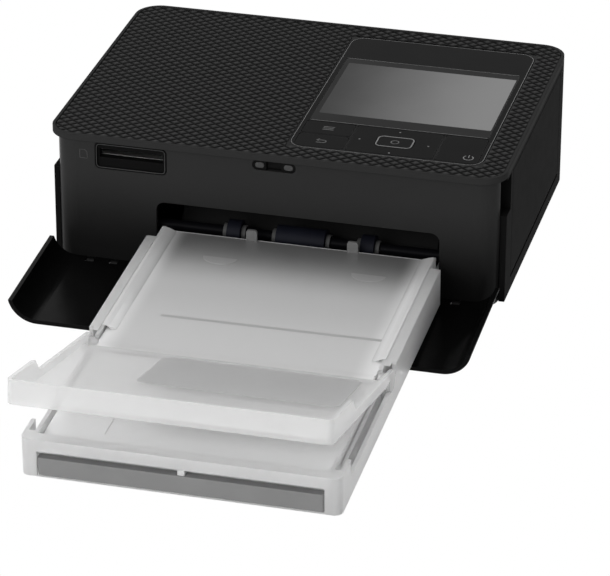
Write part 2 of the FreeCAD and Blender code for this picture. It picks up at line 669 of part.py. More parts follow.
def make_base_tray():
    side = INNER - S.seam
    start = S.frontSetback + S.seam
    length = S.bodyDepth - S.caseWall - S.seam - start
    low = S.caseRise + S.seam
    corner = S.caseCorner - S.caseWall - S.seam
    plate = slab("XY", -side, 0, side * 2, length, S.basePlate - S.seam, (0, FRONT + start, low), corner)
    rim = slab("XY", -side, 0, side * 2, length, S.baseLip + S.basePlate - S.seam,
               (0, FRONT + start, low), corner)
    inside = slab("XY", -side + S.shellWall, 0, (side - S.shellWall) * 2, length - S.shellWall * 2,
                  OVER * 2,
                  (0, FRONT + start + S.shellWall, low - OVER / 2), corner - S.shellWall)
    forward = block((-SIDE, FRONT - OVER, low + S.basePlate - S.seam),
                    (S.bodyWidth, S.stepDepth + S.shellTongue + S.seam + OVER, OVER * 2))
    pieces = [plate, cut(rim, inside, forward)]
    for x in (-1, 1):
        for y in (0, 1):
            spot = (x * (SIDE - S.footInset), FRONT + S.footInset + y * (S.bodyDepth - S.footInset * 2),
                    low)
            pieces.append(rod("Z", S.bossRadius, S.baseLip + S.basePlate, spot))
    lugs = []
    for x in (-1, 1):
        for lug in (-1, 1):
            middle = lug_middle(x, lug)
            eye = rod("X", S.coverBarrelRadius, S.coverLugLength,
                      (middle - S.coverLugLength / 2, FRONT, S.coverHingeLevel))
            web = block((middle - S.coverLugLength / 2, FRONT,
                         S.coverHingeLevel - S.coverBarrelRadius * 0.8),
                        (S.coverLugLength, start + S.shellWall, S.coverBarrelRadius * 1.3))
            lugs += [eye, web]
    body = fused(*pieces, *lugs)
    holes = []
    for x in (-1, 1):
        span = S.coverBarrelLength + S.coverLugLength * 2 + S.freeGap * 4
        holes.append(rod("X", S.coverPinRadius, span,
                         (x * S.coverHingeSpread - span / 2, FRONT, S.coverHingeLevel)))
        for y in (0, 1):
            spot = (x * (SIDE - S.footInset), FRONT + S.footInset + y * (S.bodyDepth - S.footInset * 2), 0)
            holes.append(rod("Z", S.screwRadius, S.bodyHeight / 2, spot))
    node(cut(body, *holes), "base_tray")


def make_hinge_pins():
    length = S.coverBarrelLength + (S.coverLugLength + S.freeGap) * 2
    pins = []
    for x in (-1, 1):
        pins.append(rod("X", S.coverPinRadius, length,
                        (x * S.coverHingeSpread - length / 2, FRONT, S.coverHingeLevel)))
    node(compound(pins), "cover_hinge_pins")


def make_feet_and_screws():
    feet = []
    screws = []
    for x in (-1, 1):
        for y in (0, 1):
            spot = (x * (SIDE - S.footInset), FRONT + S.footInset + y * (S.bodyDepth - S.footInset * 2), 0)
            foot = turned("Z", [(0, S.screwHead + S.seam), (0, S.footRadius),
                                (S.caseRise, S.footRadius - S.rimWidth / 2),
                                (S.caseRise + S.seam, S.footRadius - S.rimWidth / 2),
                                (S.caseRise + S.seam, S.screwHead + S.seam)], spot)
            feet.append(foot)
            rise = S.caseRise + S.seam - S.screwHeadThick
            screws.append(turned("Z", [(rise, 0), (rise, S.screwHead), (S.caseRise + S.seam, S.screwHead),
                                       (S.caseRise + S.seam, S.screwRadius),
                                       (rise + S.screwLength, S.screwRadius),
                                       (rise + S.screwLength, 0)], spot))
    node(compound(feet), "rubber_feet")
    node(compound(screws), "case_screws")


def compound(items):
    item = doc.addObject("Part::Compound", "Group")
    item.Links = items
    return item


# Front cover, drawn shut and then laid open about its hinge

def open_cover(item):
    item.Placement = Placement(Vector(), Rotation(Vector(1, 0, 0), 90 + S.coverDroopAngle.number))
    bind(item, "Placement.Rotation.Angle", 90 + S.coverDroopAngle)
    return put(item, (0, FRONT, S.coverHingeLevel))


def make_front_cover():
    outside = S.coverProud
    depth = S.coverCorner + OVER
    height = S.coverLength + S.coverTail
    shut = [(-SIDE, -outside), (SIDE, -outside), (SIDE, depth), (-SIDE, depth)]
    outer = prism("XY", shut, height, (0, 0, -S.coverTail), [(S.coverCorner, (0, 1))])
    side = SIDE - S.coverThick
    inner = prism("XY", [(-side, 0), (side, 0), (side, depth), (-side, depth)], height + OVER * 2,
                  (0, S.coverThick - outside, -S.coverTail - OVER),
                  [(S.coverCorner - S.coverThick, (0, 1))])
    behind = block((-SIDE - OVER, S.coverWrap - outside, -OVER * 2),
                   (S.bodyWidth + OVER * 2, depth, height + OVER * 3))
    tools = [inner, behind]
    notch = S.coverLugLength + S.freeGap * 2
    barrels = []
    for x in (-1, 1):
        for lug in (-1, 1):
            middle = lug_middle(x, lug)
            tools.append(block((middle - notch / 2, -OVER, -OVER),
                               (notch, OVER * 2, OVER + S.coverBarrelRadius * 2)))
        barrels.append(rod("X", S.coverBarrelRadius, S.coverBarrelLength,
                           (x * S.coverHingeSpread - S.coverBarrelLength / 2, 0, 0)))
    ribs = []
    for x in (-1, 1):
        ribs.append(block((x * S.coverHingeSpread * 0.55 - S.rimWidth / 2,
                           S.coverThick - outside - S.rimWidth / 2,
                           S.coverLength * 0.2),
                          (S.rimWidth, S.coverRibHeight + S.rimWidth / 2, S.coverLength * 0.3)))
    plate = fused(cut(outer, *tools), *barrels, *ribs)
    bores = []
    for x in (-1, 1):
        bores.append(rod("X", S.coverPinRadius + S.runningGap, S.coverBarrelLength * 2,
                         (x * S.coverHingeSpread - S.coverBarrelLength, 0, 0)))
    node(open_cover(cut(plate, *bores)), "front_cover")


# Side door

def make_side_door():
    gap = S.freeGap
    low = S.doorBottom + gap
    high = S.doorTop - gap
    x = SIDE - S.doorThick
    plate = prism("XZ", [(x, low), (SIDE, low), (SIDE, high), (x, high)], S.doorLength - gap * 2,
                  (0, FRONT + S.doorStart + gap, 0),
                  [(S.doorAxisInset * 0.9, (1,)), (S.doorThick * 0.3, (0,))])
    pins = rod("Y", S.doorPinRadius, S.doorLength + S.doorPinLength * 2,
               (SIDE - S.doorAxisInset, FRONT + S.doorStart - S.doorPinLength, low + S.doorAxisInset))
    tongue = block((x - S.doorThick, FRONT + S.doorStart + S.doorLength / 2 - S.doorCatchLength / 2,
                    high - S.doorThick * 2), (S.doorThick * 1.2, S.doorCatchLength, S.doorThick))
    node(fused(plate, pins, tongue), "side_door")


# Control panel and keys

PANEL_Y = FRONT + S.panelStart
KEYS_Y = FRONT + S.keyStart
KEY_FLOOR = LEVEL_TOP - S.panelThick
PANEL_FLOOR = LEVEL_TOP - S.topThick - S.boardThick / 2
LEFT_KEY_X = S.panelLeft + S.keyInset
PAD_X = LEFT_KEY_X + S.leftKeyWidth + S.keyInset / 2
POWER_X = PAD_X + S.padWidth + S.keyInset / 2
POWER_WIDTH = S.panelLeft + S.panelWidth - S.keyInset - POWER_X
HALF_KEY = (S.keyDepth - S.keyInset / 2) / 2
OK_X = PAD_X + (S.padWidth - S.okWidth) / 2
OK_Y = KEYS_Y + (S.keyDepth - S.okDepth) / 2
BOARD_TOP = LEVEL_TOP - S.panelThick - S.stemLength - S.keyTravel - S.domeHeight
KEYS = {
    "menu_button": (LEFT_KEY_X, KEYS_Y + HALF_KEY + S.keyInset / 2, S.leftKeyWidth, HALF_KEY),
    "back_button": (LEFT_KEY_X, KEYS_Y, S.leftKeyWidth, HALF_KEY),
    "direction_pad": (PAD_X, KEYS_Y, S.padWidth, S.keyDepth),
    "ok_button": (OK_X, OK_Y, S.okWidth, S.okDepth),
    "power_button": (POWER_X, KEYS_Y, POWER_WIDTH, S.keyDepth),
}


def make_control_panel():
    plate = slab("XY", 0, 0, S.panelWidth, S.panelDepth, S.panelThick, (S.panelLeft, PANEL_Y, KEY_FLOOR),
                 S.panelCorner)
    flange = slab("XY", 0, 0, S.panelWidth + S.panelFlange * 2, S.panelDepth + S.panelFlange * 2,
                  S.boardThick * 0.5, (S.panelLeft - S.panelFlange, PANEL_Y - S.panelFlange,
                                       LEVEL_TOP - S.topThick - S.boardThick * 0.5), S.panelCorner)
    under = slab("XY", 0, 0, S.panelWidth, S.panelDepth, LEVEL_TOP - S.topThick - KEY_FLOOR + S.topThick,
                 (S.panelLeft, PANEL_Y, LEVEL_TOP - S.topThick - S.boardThick * 0.5), S.panelCorner)
    windows = []
    for name in ("menu_button", "back_button", "direction_pad", "power_button"):
        x, y, width, depth = KEYS[name]
        windows.append(slab("XY", 0, 0, width + S.keyGap * 2, depth + S.keyGap * 2, OVER * 2,
                            (x - S.keyGap, y - S.keyGap, LEVEL_TOP - OVER), S.keyRound))
    glass = slab("XY", 0, 0, S.panelWidth - S.glassInset * 2 + S.seam, S.glassDepth + S.seam,
                 S.glassThick * 2,
                 (S.panelLeft + S.glassInset - S.seam / 2, FRONT + S.glassStart - S.seam / 2,
                  LEVEL_TOP - S.glassThick), S.keyRound)
    screen = block((S.panelLeft + S.screenInset + S.glassInset, FRONT + S.glassStart + S.screenInset,
                    LEVEL_TOP - OVER), (S.panelWidth - (S.screenInset + S.glassInset) * 2,
                                        S.glassDepth - S.screenInset * 2, OVER * 2))
    node(cut(fused(plate, under, flange), *windows, glass, screen), "control_panel")


def make_display():
    node(slab("XY", 0, 0, S.panelWidth - S.glassInset * 2, S.glassDepth, S.glassThick,
              (S.panelLeft + S.glassInset, FRONT + S.glassStart, LEVEL_TOP - S.glassThick), S.keyRound),
         "display_glass")
    floor = LEVEL_TOP - S.topThick - S.boardThick * 0.5
    node(block((S.panelLeft + S.screenInset, FRONT + S.glassStart + S.screenInset / 2,
                floor - S.screenThick),
               (S.panelWidth - S.screenInset * 2, S.glassDepth - S.screenInset, S.screenThick)),
         "screen_module")


def make_key(name):
    x, y, width, depth = KEYS[name]
    radius = S.okRound if name == "ok_button" else S.keyRound
    cap = slab("XY", 0, 0, width, depth, S.keyThick, (x, y, LEVEL_TOP - S.keyThick), radius)
    parts = [cap]
    stem_floor = BOARD_TOP + S.domeHeight + S.keyTravel
    height = LEVEL_TOP - S.keyThick / 2 - stem_floor
    for stem_x, stem_y in stems(name):
        parts.append(rod("Z", S.stemRadius, height, (stem_x, stem_y, stem_floor)))
    whole = fused(*parts)
    if name == "direction_pad":
        hole = slab("XY", 0, 0, S.okWidth + S.keyGap * 2, S.okDepth + S.keyGap * 2, OVER * 2,
                    (OK_X - S.keyGap, OK_Y - S.keyGap, LEVEL_TOP - OVER), S.okRound)
        whole = cut(whole, hole)
    node(whole, name)


def stems(name):
    x, y, width, depth = KEYS[name]
    if name != "direction_pad":
        return [(x + width / 2, y + depth / 2)]
    inset = S.keyInset * 2
    return [(x + inset, y + depth / 2), (x + width - inset, y + depth / 2),
            (x + width / 2, y + inset / 2 + S.stemRadius / 2),
            (x + width / 2, y + depth - inset / 2 - S.stemRadius / 2)]


def make_key_board():
    length = S.glassStart - S.panelStart - S.keyInset / 2
    board = block((S.panelLeft, PANEL_Y, BOARD_TOP - S.boardThick), (S.panelWidth, length, S.boardThick))
    domes = [board]
    for name in KEYS:
        for x, y in stems(name):
            domes.append(rod("Z", S.domeRadius, S.domeHeight, (x, y, BOARD_TOP)))
    post = PANEL_FLOOR - BOARD_TOP
    for x in (S.panelLeft + S.panelFlange / 2,
              S.panelLeft + S.panelWidth - S.panelFlange / 2 - S.stemRadius):
        domes.append(block((x, PANEL_Y + S.panelCorner, BOARD_TOP), (S.stemRadius, S.stemRadius * 2, post)))
    node(fused(*domes), "key_board")


# Card slot and cover catch

def make_card_slot():
    x = -S.cardMiddle
    frame = slab("XZ", 0, 0, S.cardFrameWidth - S.seam, S.cardFrameHeight - S.seam, S.cardTubeDepth,
                 (x - (S.cardFrameWidth - S.seam) / 2, SHELL_FACE - S.seam / 2,
                  S.cardLevel - (S.cardFrameHeight - S.seam) / 2), S.cardFrameCorner - S.seam / 2)
    dish = slab("XZ", 0, 0, S.cardFrameWidth - S.seam * 6, S.cardFrameHeight - S.seam * 6,
                S.cardTubeDepth / 4,
                (x - (S.cardFrameWidth - S.seam * 6) / 2, SHELL_FACE - S.seam,
                 S.cardLevel - (S.cardFrameHeight - S.seam * 6) / 2), S.cardFrameCorner - S.seam * 3)
    hole_level = S.cardLevel + S.cardHoleRise - S.cardHoleHeight / 2
    hole = block((x - S.cardHoleWidth / 2, SHELL_FACE - OVER, hole_level),
                 (S.cardHoleWidth, OVER * 3, S.cardHoleHeight))
    node(cut(frame, dish, hole), "card_slot_frame")
    start = SHELL_FACE + S.cardTubeDepth
    wide = S.cardHoleWidth + S.socketThick * 2
    high = S.cardHoleHeight + S.socketThick * 2
    can = block((x - wide / 2, start, hole_level - S.socketThick), (wide, S.socketLength, high))
    inside = block((x - S.cardHoleWidth / 2, start - OVER, hole_level),
                   (S.cardHoleWidth, S.socketLength - S.socketThick + OVER, S.cardHoleHeight))
    board = block((x - wide / 2 - S.socketThick * 4, start + S.stemRadius,
                   hole_level - S.socketThick - S.boardThick),
                  (wide + S.socketThick * 8, S.socketLength, S.boardThick))
    node(fused(cut(can, inside), board), "card_reader")


def make_cover_catch():
    housing = slab("XZ", 0, 0, S.latchWidth - S.seam, S.latchHeight - S.seam, S.latchDeep,
                   (S.latchMiddle - (S.latchWidth - S.seam) / 2, SHELL_FACE + S.seam,
                    S.latchLevel - (S.latchHeight - S.seam) / 2), (S.latchHeight - S.seam) * 0.44)
    gap = S.latchWidth - S.latchEnd * 2
    pocket = block((S.latchMiddle - gap / 2, SHELL_FACE - OVER, S.latchLevel - S.latchHeight),
                   (gap, OVER + S.latchDeep / 2, S.latchHeight * 2))
    node(cut(housing, pocket), "cover_catch")


# Paper cassette, drawn level from its own corner and then set into the mouth at its tilt

CASE_MID = S.cassetteCentre
WIDE = S.cassetteWidth / 2
NARROW = S.tongueWidth / 2
NOSE = -S.cassetteFront
TRAY_Y = -S.trayHinge
TRAY_Z = S.trayHingeRise


def in_mouth(item):
    item.Placement = Placement(Vector(), Rotation(Vector(1, 0, 0), TILT.number))
    bind(item, "Placement.Rotation.Angle", TILT)
    return put(item, (CASE_MID, FRONT, S.cassetteLevel))


def make_cassette_base():
    plan = [(-WIDE, NOSE), (WIDE, NOSE), (WIDE, -S.tongueStart), (NARROW, -S.tongueStart),
            (NARROW, S.cassetteRear), (-NARROW, S.cassetteRear), (-NARROW, -S.tongueStart),
            (-WIDE, -S.tongueStart)]
    outer = prism("XY", plan, S.tubHeight, (0, 0, 0), [(S.trayCorner, (0, 1))])
    wall = S.tubWall
    inner_wide = NARROW - wall
    hollow = block((-inner_wide, NOSE + S.barThick + wall, S.tubFloor),
                   (inner_wide * 2, S.cassetteFront - S.barThick - wall + S.cassetteRear + OVER,
                    S.tubHeight))
    side_start = NOSE + S.cornerPost
    side_end = TRAY_Y
    tools = [hollow]
    band = WIDE - NARROW - wall
    for x in (-1, 1):
        left = -WIDE + wall if x < 0 else NARROW
        tools.append(block((left, NOSE + S.barThick + wall * 2, S.tubFloor),
                           (band, S.cassetteFront - S.barThick - wall * 2 - S.tongueStart + OVER,
                            S.tubHeight)))
        edge = -WIDE - OVER if x < 0 else inner_wide
        tools.append(block((edge, side_start, S.lowWall),
                           (OVER + WIDE - inner_wide, side_end - side_start, S.tubHeight)))
        eye_x = -WIDE - OVER if x < 0 else WIDE - wall - S.seam
        tools.append(rod("X", S.trayWallTop + S.freeGap, OVER + wall + S.seam, (eye_x, TRAY_Y, TRAY_Z)))
        tools.append(block((eye_x, TRAY_Y, TRAY_Z), (OVER + wall + S.seam, S.trayWallTop + S.trayPinRadius,
                                                     S.tubHeight)))
    tools.append(block((-WIDE, S.lidRear + S.lidGap, S.rearWall),
                       (S.cassetteWidth, S.cassetteRear + OVER, S.tubHeight)))
    tools.append(block((-S.barWidth / 2 - S.seam, NOSE - OVER, S.barRise - S.seam),
                       (S.barWidth + S.seam * 2, OVER + S.barThick,
                        S.deckTop - S.deckThick - S.barRise + S.seam)))
    slot_level = S.barRise + S.barHeight
    tools.append(block((-S.barWidth / 2, NOSE, slot_level),
                       (S.barWidth, S.barThick * 2, S.deckTop - S.deckThick - slot_level)))
    eyes = []
    for x in (-1, 1):
        start = -WIDE + wall + S.seam if x < 0 else NARROW - wall
        length = WIDE - NARROW - S.seam
        eyes.append(rod("X", S.trayArmRadius, length, (start, TRAY_Y, TRAY_Z)))
        eyes.append(block((start, TRAY_Y - S.trayArmRadius, S.tubFloor / 2),
                          (length, S.trayArmRadius * 2, TRAY_Z - S.tubFloor / 2)))
    body = fused(cut(outer, *tools), *eyes)
    bore = rod("X", S.trayPinRadius + S.runningGap, S.cassetteWidth + OVER * 2,
               (-WIDE - OVER, TRAY_Y, TRAY_Z))
    node(in_mouth(cut(body, bore)), "cassette_base")


def make_cassette_lid():
    side = NARROW - S.tubWall - S.lidGap
    front = TRAY_Y - S.trayArmRadius - S.seam
    length = S.lidRear - front
    floor = S.lidTop - S.lidThick
    plate = slab("XY", -side, 0, side * 2, length, S.lidThick, (0, front, floor), S.lidLipWidth)
    parts = [plate]
    for x in (-1, 1):
        edge = -side if x < 0 else side - S.lidLipWidth
        parts.append(block((edge, front + S.trayStart * 2, floor),
                           (S.lidLipWidth, length - S.trayStart * 2 - S.lidLipWidth,
                                                                    S.lidThick + S.lidLipHeight)))
        ear_x = -side if x < 0 else side - S.tubWall
        parts.append(block((ear_x, TRAY_Y - S.trayArmRadius * 0.8, TRAY_Z - S.trayArmRadius * 0.6),
                           (S.tubWall, S.trayArmRadius * 1.6,
                            floor - TRAY_Z + S.trayArmRadius * 0.6 + S.lidThick / 2)))
        pin_x = -NARROW + S.lidGap / 2 if x < 0 else side - S.tubWall / 2
        parts.append(rod("X", S.trayPinRadius, S.tubWall * 1.5 + S.lidGap / 2, (pin_x, TRAY_Y, TRAY_Z)))
    for offset in (-S.tabFirst, S.tabSecond):
        tab = slab("XZ", 0, 0, S.tabWidth, S.tabRise + S.lidThick, S.tabThick,
                   (offset - S.tabWidth / 2, S.lidRear - S.tabThick, floor), S.tabWidth / 4)
        parts.append(tab)
    node(in_mouth(fused(*parts)), "cassette_lid")


def make_front_deck():
    side = NARROW - S.tubWall - S.seam
    front = NOSE + S.deckFront + S.tubWall
    back = TRAY_Y - S.trayStart - S.lidGap
    floor = S.deckTop - S.deckThick
    plate = slab("XY", -side, 0, side * 2, back - front, S.deckThick, (0, front, floor), S.lidLipWidth)
    panel = slab("XY", 0, 0, side, (back - front) / 3, S.deckThick, (-side * 0.6, front + S.cornerPost / 2,
                 S.deckTop - S.deckThick / 4), S.trayCorner)
    legs = []
    for x in (-1, 1):
        leg = -side + S.seam if x < 0 else side - S.tubWall - S.seam
        legs.append(block((leg, front + S.trayCorner, S.tubFloor),
                          (S.tubWall, back - front - S.trayCorner * 2,
                                                                    floor - S.tubFloor + S.deckThick / 2)))
    node(in_mouth(fused(cut(plate, panel), *legs)), "front_deck")


def make_front_bar():
    bar = slab("XY", -S.barWidth / 2, 0, S.barWidth, S.barThick - S.seam, S.barHeight, (0, NOSE, S.barRise),
               S.barThick / 4)
    node(in_mouth(compound([bar])), "front_bar")


def make_paper():
    rear = S.cassetteRear - S.seam
    level = S.tubFloor
    legs = S.tubWall * 2 + S.lidGap * 3
    plate_side = NARROW - legs
    plate = block((-plate_side, rear - S.paperLength / 2, level),
                  (plate_side * 2, S.paperLength / 2, S.plateThick))
    node(in_mouth(compound([plate])), "lift_plate")
    stack = block((-S.paperWidth / 2, rear - S.paperLength, level + S.plateThick),
                  (S.paperWidth, S.paperLength, S.paperThick))
    node(in_mouth(compound([stack])), "paper_stack")


def on_hinge(item):
    item.Placement = Placement(Vector(), Rotation(Vector(1, 0, 0), -SLOPE.number))
    bind(item, "Placement.Rotation.Angle", -SLOPE)
    y = FRONT + TRAY_Y * cosine(TILT) - TRAY_Z * sine(TILT)
    z = S.cassetteLevel + TRAY_Y * sine(TILT) + TRAY_Z * cosine(TILT)
    return put(item, (CASE_MID, y, z))


def make_catch_tray():
    wall = S.trayWall
    length = S.trayLength
    profile = [(0, S.trayWallTop), (-S.trayEarStart, S.trayWallTop),
               (-S.trayEarStart - S.trayEarSlope, S.trayEarTop), (-length - S.trayLean, S.trayEarTop),
               (-length, -S.trayDrop), (-S.trayStart * 2, -S.trayDrop), (0, S.trayWallTop * 0.4)]
    outer = prism("YZ", profile, S.cassetteWidth, (-WIDE, 0, 0))
    inner = prism("YZ", [(OVER, S.trayFloor - S.trayDrop), (OVER, S.trayEarTop * 2),
                         (-length - S.trayLean * 2 + wall, S.trayEarTop * 2),
                         (-length + wall, S.trayFloor - S.trayDrop)],
                  S.cassetteWidth - wall * 2, (-WIDE + wall, 0, 0))
    narrow = block((-WIDE + wall, -S.trayStart - S.lidGap, -OVER),
                   (S.cassetteWidth - wall * 2, OVER * 4, OVER * 3))

    def lip_corner(edge):
        box = edge.BoundBox
        outside = abs(abs(edge.CenterOfMass.x) - WIDE.number) < NEAR
        return outside and box.YMax < NEAR - length.number and box.ZLength > S.trayEarTop.number / 2

    tray = rounded(cut(outer, inner, narrow), S.trayCorner, lip_corner)
    pins = []
    for x in (-1, 1):
        start = -WIDE if x < 0 else WIDE - wall - S.tubWall
        pins.append(rod("X", S.trayPinRadius, wall + S.tubWall, (start, 0, 0)))
        disc = -WIDE if x < 0 else WIDE - wall
        pins.append(rod("X", S.trayWallTop, wall, (disc, 0, 0)))
    node(on_hinge(fused(tray, *pins)), "catch_tray")


# Frame, rollers and head

FLOOR = S.caseRise + S.basePlate
PRINT_LEFT = S.printCentre - S.printWidth / 2
PICKUP = (FRONT + S.pickupDepth, S.pickupLevel)
CAPSTAN = (FRONT + S.capstanDepth, S.pathLevel - S.capstanRadius - S.nipGap / 2)
PINCH = (FRONT + S.pinchDepth, S.pathLevel + S.pinchRadius + S.nipGap / 2)
PLATEN = (FRONT + S.platenDepth, S.pathLevel - S.platenRadius - S.nipGap / 2)
SUPPLY = (FRONT + S.supplyDepth, S.spoolLevel)
TAKEUP = (FRONT + S.takeupDepth, S.spoolLevel)
LEVER = (FRONT + S.takeupDepth + S.ribbonTube * 2, S.spoolLevel)


def make_side_plates():
    bridge = S.spoolLevel + S.ribbonTube + S.freeGap * 2 + S.bridgeThick - FLOOR
    for name, x, height in (("left_side_plate", PLATE_IN_LEFT - S.plateSheet, S.plateHeight),
                            ("right_side_plate", PLATE_IN_RIGHT, bridge)):
        plate = slab("YZ", 0, 0, S.plateLength, height, S.plateSheet, (x, FRONT + S.plateStart, FLOOR),
                     S.pickupRadius)
        tools = []
        for y, z in (PICKUP, CAPSTAN, PINCH, PLATEN):
            tools.append(rod("X", S.shaftRadius + S.runningGap, OVER * 2, (x - OVER, y, z)))
        pins = []
        if name == "right_side_plate":
            arm_top = S.ribbonArmLevel + S.ribbonArmHeight + S.freeGap
            tools.append(block((x - OVER, SUPPLY[0], S.pathLevel),
                               (OVER * 2, TAKEUP[0] - SUPPLY[0], arm_top - S.pathLevel)))
            wide = S.ribbonMouth + (S.ribbonWall + S.freeGap) * 2
            for y, z in (SUPPLY, TAKEUP):
                tools.append(rod("X", S.ribbonTube + S.freeGap * 2, OVER * 2, (x - OVER, y, z)))
                tools.append(block((x - OVER, y - wide / 2, S.pathLevel),
                                   (OVER * 2, wide, z - S.pathLevel)))
            pins.append(rod("X", S.leverPinRadius, S.plateSheet + S.leverThick + S.seam * 3, (x, *LEVER)))
        else:
            spots = gear_spots()
            for idler in ("head_idler", "pickup_idler"):
                y, z = spots[idler]
                pins.append(rod("X", S.idlerPinRadius, S.gearWide + S.gearOffset + S.plateSheet,
                                (GEAR_X, y, z)))
                pins.append(rod("X", S.idlerPinRadius + S.guideThick, S.gearOffset - S.seam,
                                (GEAR_X + S.gearWide + S.seam, y, z)))
        node(fused(cut(plate, *tools), *pins), name)


def make_cross_stay():
    start = FRONT + S.plateStart + S.plateLength - S.stayWidth * 1.5
    node(block((PLATE_IN_LEFT, start, FLOOR + S.plateHeight - S.plateSheet * 2),
               (S.plateLeft + S.plateRight, S.stayWidth, S.plateSheet)), "cross_stay")


def roller(name, spot, radius, start, length):
    """A roller whose journals run in both side plates."""
    left = PLATE_IN_LEFT - S.plateSheet - S.seam
    right = PLATE_IN_RIGHT + S.plateSheet + S.seam
    y, z = spot
    steps = [(start - left, S.shaftRadius), (length, radius), (right - start - length, S.shaftRadius)]
    node(stepped("X", 0, steps, (left, y, z)), name + "_roller")


def make_rollers():
    roller("platen", PLATEN, S.platenRadius, PRINT_LEFT, S.printWidth)
    roller("capstan", CAPSTAN, S.capstanRadius, PRINT_LEFT, S.printWidth)
    roller("pinch", PINCH, S.pinchRadius, PRINT_LEFT, S.printWidth)


def make_pickup():
    y, z = PICKUP
    left = PLATE_IN_LEFT - S.plateSheet - S.seam
    right = PLATE_IN_RIGHT + S.plateSheet + S.seam
    shaft = [rod("X", S.shaftRadius, right - left, (left, y, z))]
    tyres = []
    for middle, width in ((S.pickupCentre - S.pickupSpread, S.pickupNarrow), (S.pickupCentre, S.pickupWide),
                          (S.pickupCentre + S.pickupSpread, S.pickupNarrow)):
        start = middle - width / 2
        tyres.append(cut(rod("X", S.pickupRadius, width, (start, y, z)),
                         rod("X", S.shaftRadius, width, (start, y, z))))
        for edge in (start - S.collarLength - S.seam, start + width + S.seam):
            shaft.append(rod("X", S.collarRadius, S.collarLength, (edge, y, z)))
    node(tyres[1], "middle_pickup_tyre")
    node(compound([tyres[0], tyres[2]]), "outer_pickup_tyres")
    node(fused(*shaft), "pickup_shaft")


def make_guides():
    left = PRINT_LEFT
    thick = S.guideThick
    start = S.cassetteRear + thick
    top = S.pathLevel - thick
    end = S.capstanDepth - S.capstanRadius - thick
    ramp = [(start, 0), (start + thick, 0), (start + thick, S.cassetteLevel),
            (end, top - FLOOR - thick * 1.6), (end, top - FLOOR), (start, S.cassetteLevel)]
    node(prism("YZ", ramp, S.printWidth, (left, FRONT, FLOOR)), "front_paper_guide")
    begin = S.platenDepth + S.platenRadius + thick
    finish = S.bodyDepth - S.caseWall - thick
    low = S.rearSlotLevel - FLOOR
    deck = [(begin, 0), (begin + thick, 0), (begin + thick, top - FLOOR - thick), (finish, low - thick),
            (finish, low), (begin, top - FLOOR)]
    node(prism("YZ", deck, S.printWidth, (left, FRONT, FLOOR)), "rear_paper_guide")


def make_head():
    y = PLATEN[0]
    low = S.pathLevel + S.headLift
    head = block((PRINT_LEFT, y - S.headDeep / 2, low), (S.printWidth, S.headDeep, S.headThick))
    bead = rod("X", S.headBead, S.printWidth - S.headDeep / 2, (PRINT_LEFT + S.headDeep / 4, y, low))
    node(fused(head, bead), "thermal_head")
    floor = low + S.headThick
    pitch = (S.headDeep - S.finThick) / 3
    half = S.headDeep / 2
    comb = [(-half, 0), (half, 0)]
    for fin in range(3, -1, -1):
        near = pitch * fin - half
        comb += [(near + S.finThick, S.sinkHeight), (near, S.sinkHeight)]
        if fin:
            comb += [(near, S.finThick * 1.5), (near - pitch + S.finThick, S.finThick * 1.5)]
    node(prism("YZ", comb, S.plateLeft + S.plateRight, (PLATE_IN_LEFT, y, floor)), "head_heat_sink")


# Gears on the left side plate

GEAR_X = PLATE_IN_LEFT - S.plateSheet - S.gearOffset - S.gearWide
TEETH = {"platen_gear": whole(S.platenTeethCount), "head_idler": whole(S.idlerTeethCount),
         "capstan_gear": whole(S.capstanTeethCount), "pickup_idler": whole(S.idlerTeethCount),
         "pickup_gear": whole(S.pickupTeethCount), "motor_pinion": whole(S.pinionTeethCount)}


def pitch_radius(name):
    return S.gearModule.number * TEETH[name] / 2


def apex(first, second, name_a, name_b, name, up):
    """Where a gear meshes with two others whose centres are given."""
    reach_a = pitch_radius(name_a) + pitch_radius(name)
    reach_b = pitch_radius(name_b) + pitch_radius(name)
    apart = math.dist(first, second)
    along = (reach_a ** 2 - reach_b ** 2 + apart ** 2) / (2 * apart)
    off = math.sqrt(reach_a ** 2 - along ** 2) * up
    ux = (second[0] - first[0]) / apart
    uz = (second[1] - first[1]) / apart
    return (first[0] + ux * along - uz * off, first[1] + uz * along + ux * off)


def spot_of(pair):
    return (pair[0].number, pair[1].number)


def gear_spots():
    spots = {"platen_gear": spot_of(PLATEN), "capstan_gear": spot_of(CAPSTAN),
             "pickup_gear": spot_of(PICKUP)}
    spots["head_idler"] = apex(spots["platen_gear"], spots["capstan_gear"], "platen_gear", "capstan_gear",
                               "head_idler", -1)
    spots["pickup_idler"] = apex(spots["capstan_gear"], spots["pickup_gear"], "capstan_gear", "pickup_gear",
                                 "pickup_idler", -1)
    reach = pitch_radius("head_idler") + pitch_radius("motor_pinion")
    y, z = spots["head_idler"]
    spots["motor_pinion"] = (y, z + reach)
    return spots


MESHES = [("platen_gear", "head_idler"), ("head_idler", "capstan_gear"), ("capstan_gear", "pickup_idler"),
          ("pickup_idler", "pickup_gear"), ("head_idler", "motor_pinion")]


def gear_turns(spots):
    """The turn of each gear at which its teeth lie in the gaps of the gear before it."""
    turns = {"platen_gear": 0.0}
    for first, second in MESHES:
        towards = math.atan2(spots[second][1] - spots[first][1], spots[second][0] - spots[first][0])
        ratio = TEETH[first] / TEETH[second]
        turns[second] = (towards + math.pi - math.pi / TEETH[second]
                         + (towards - turns[first]) * ratio)
    return turns


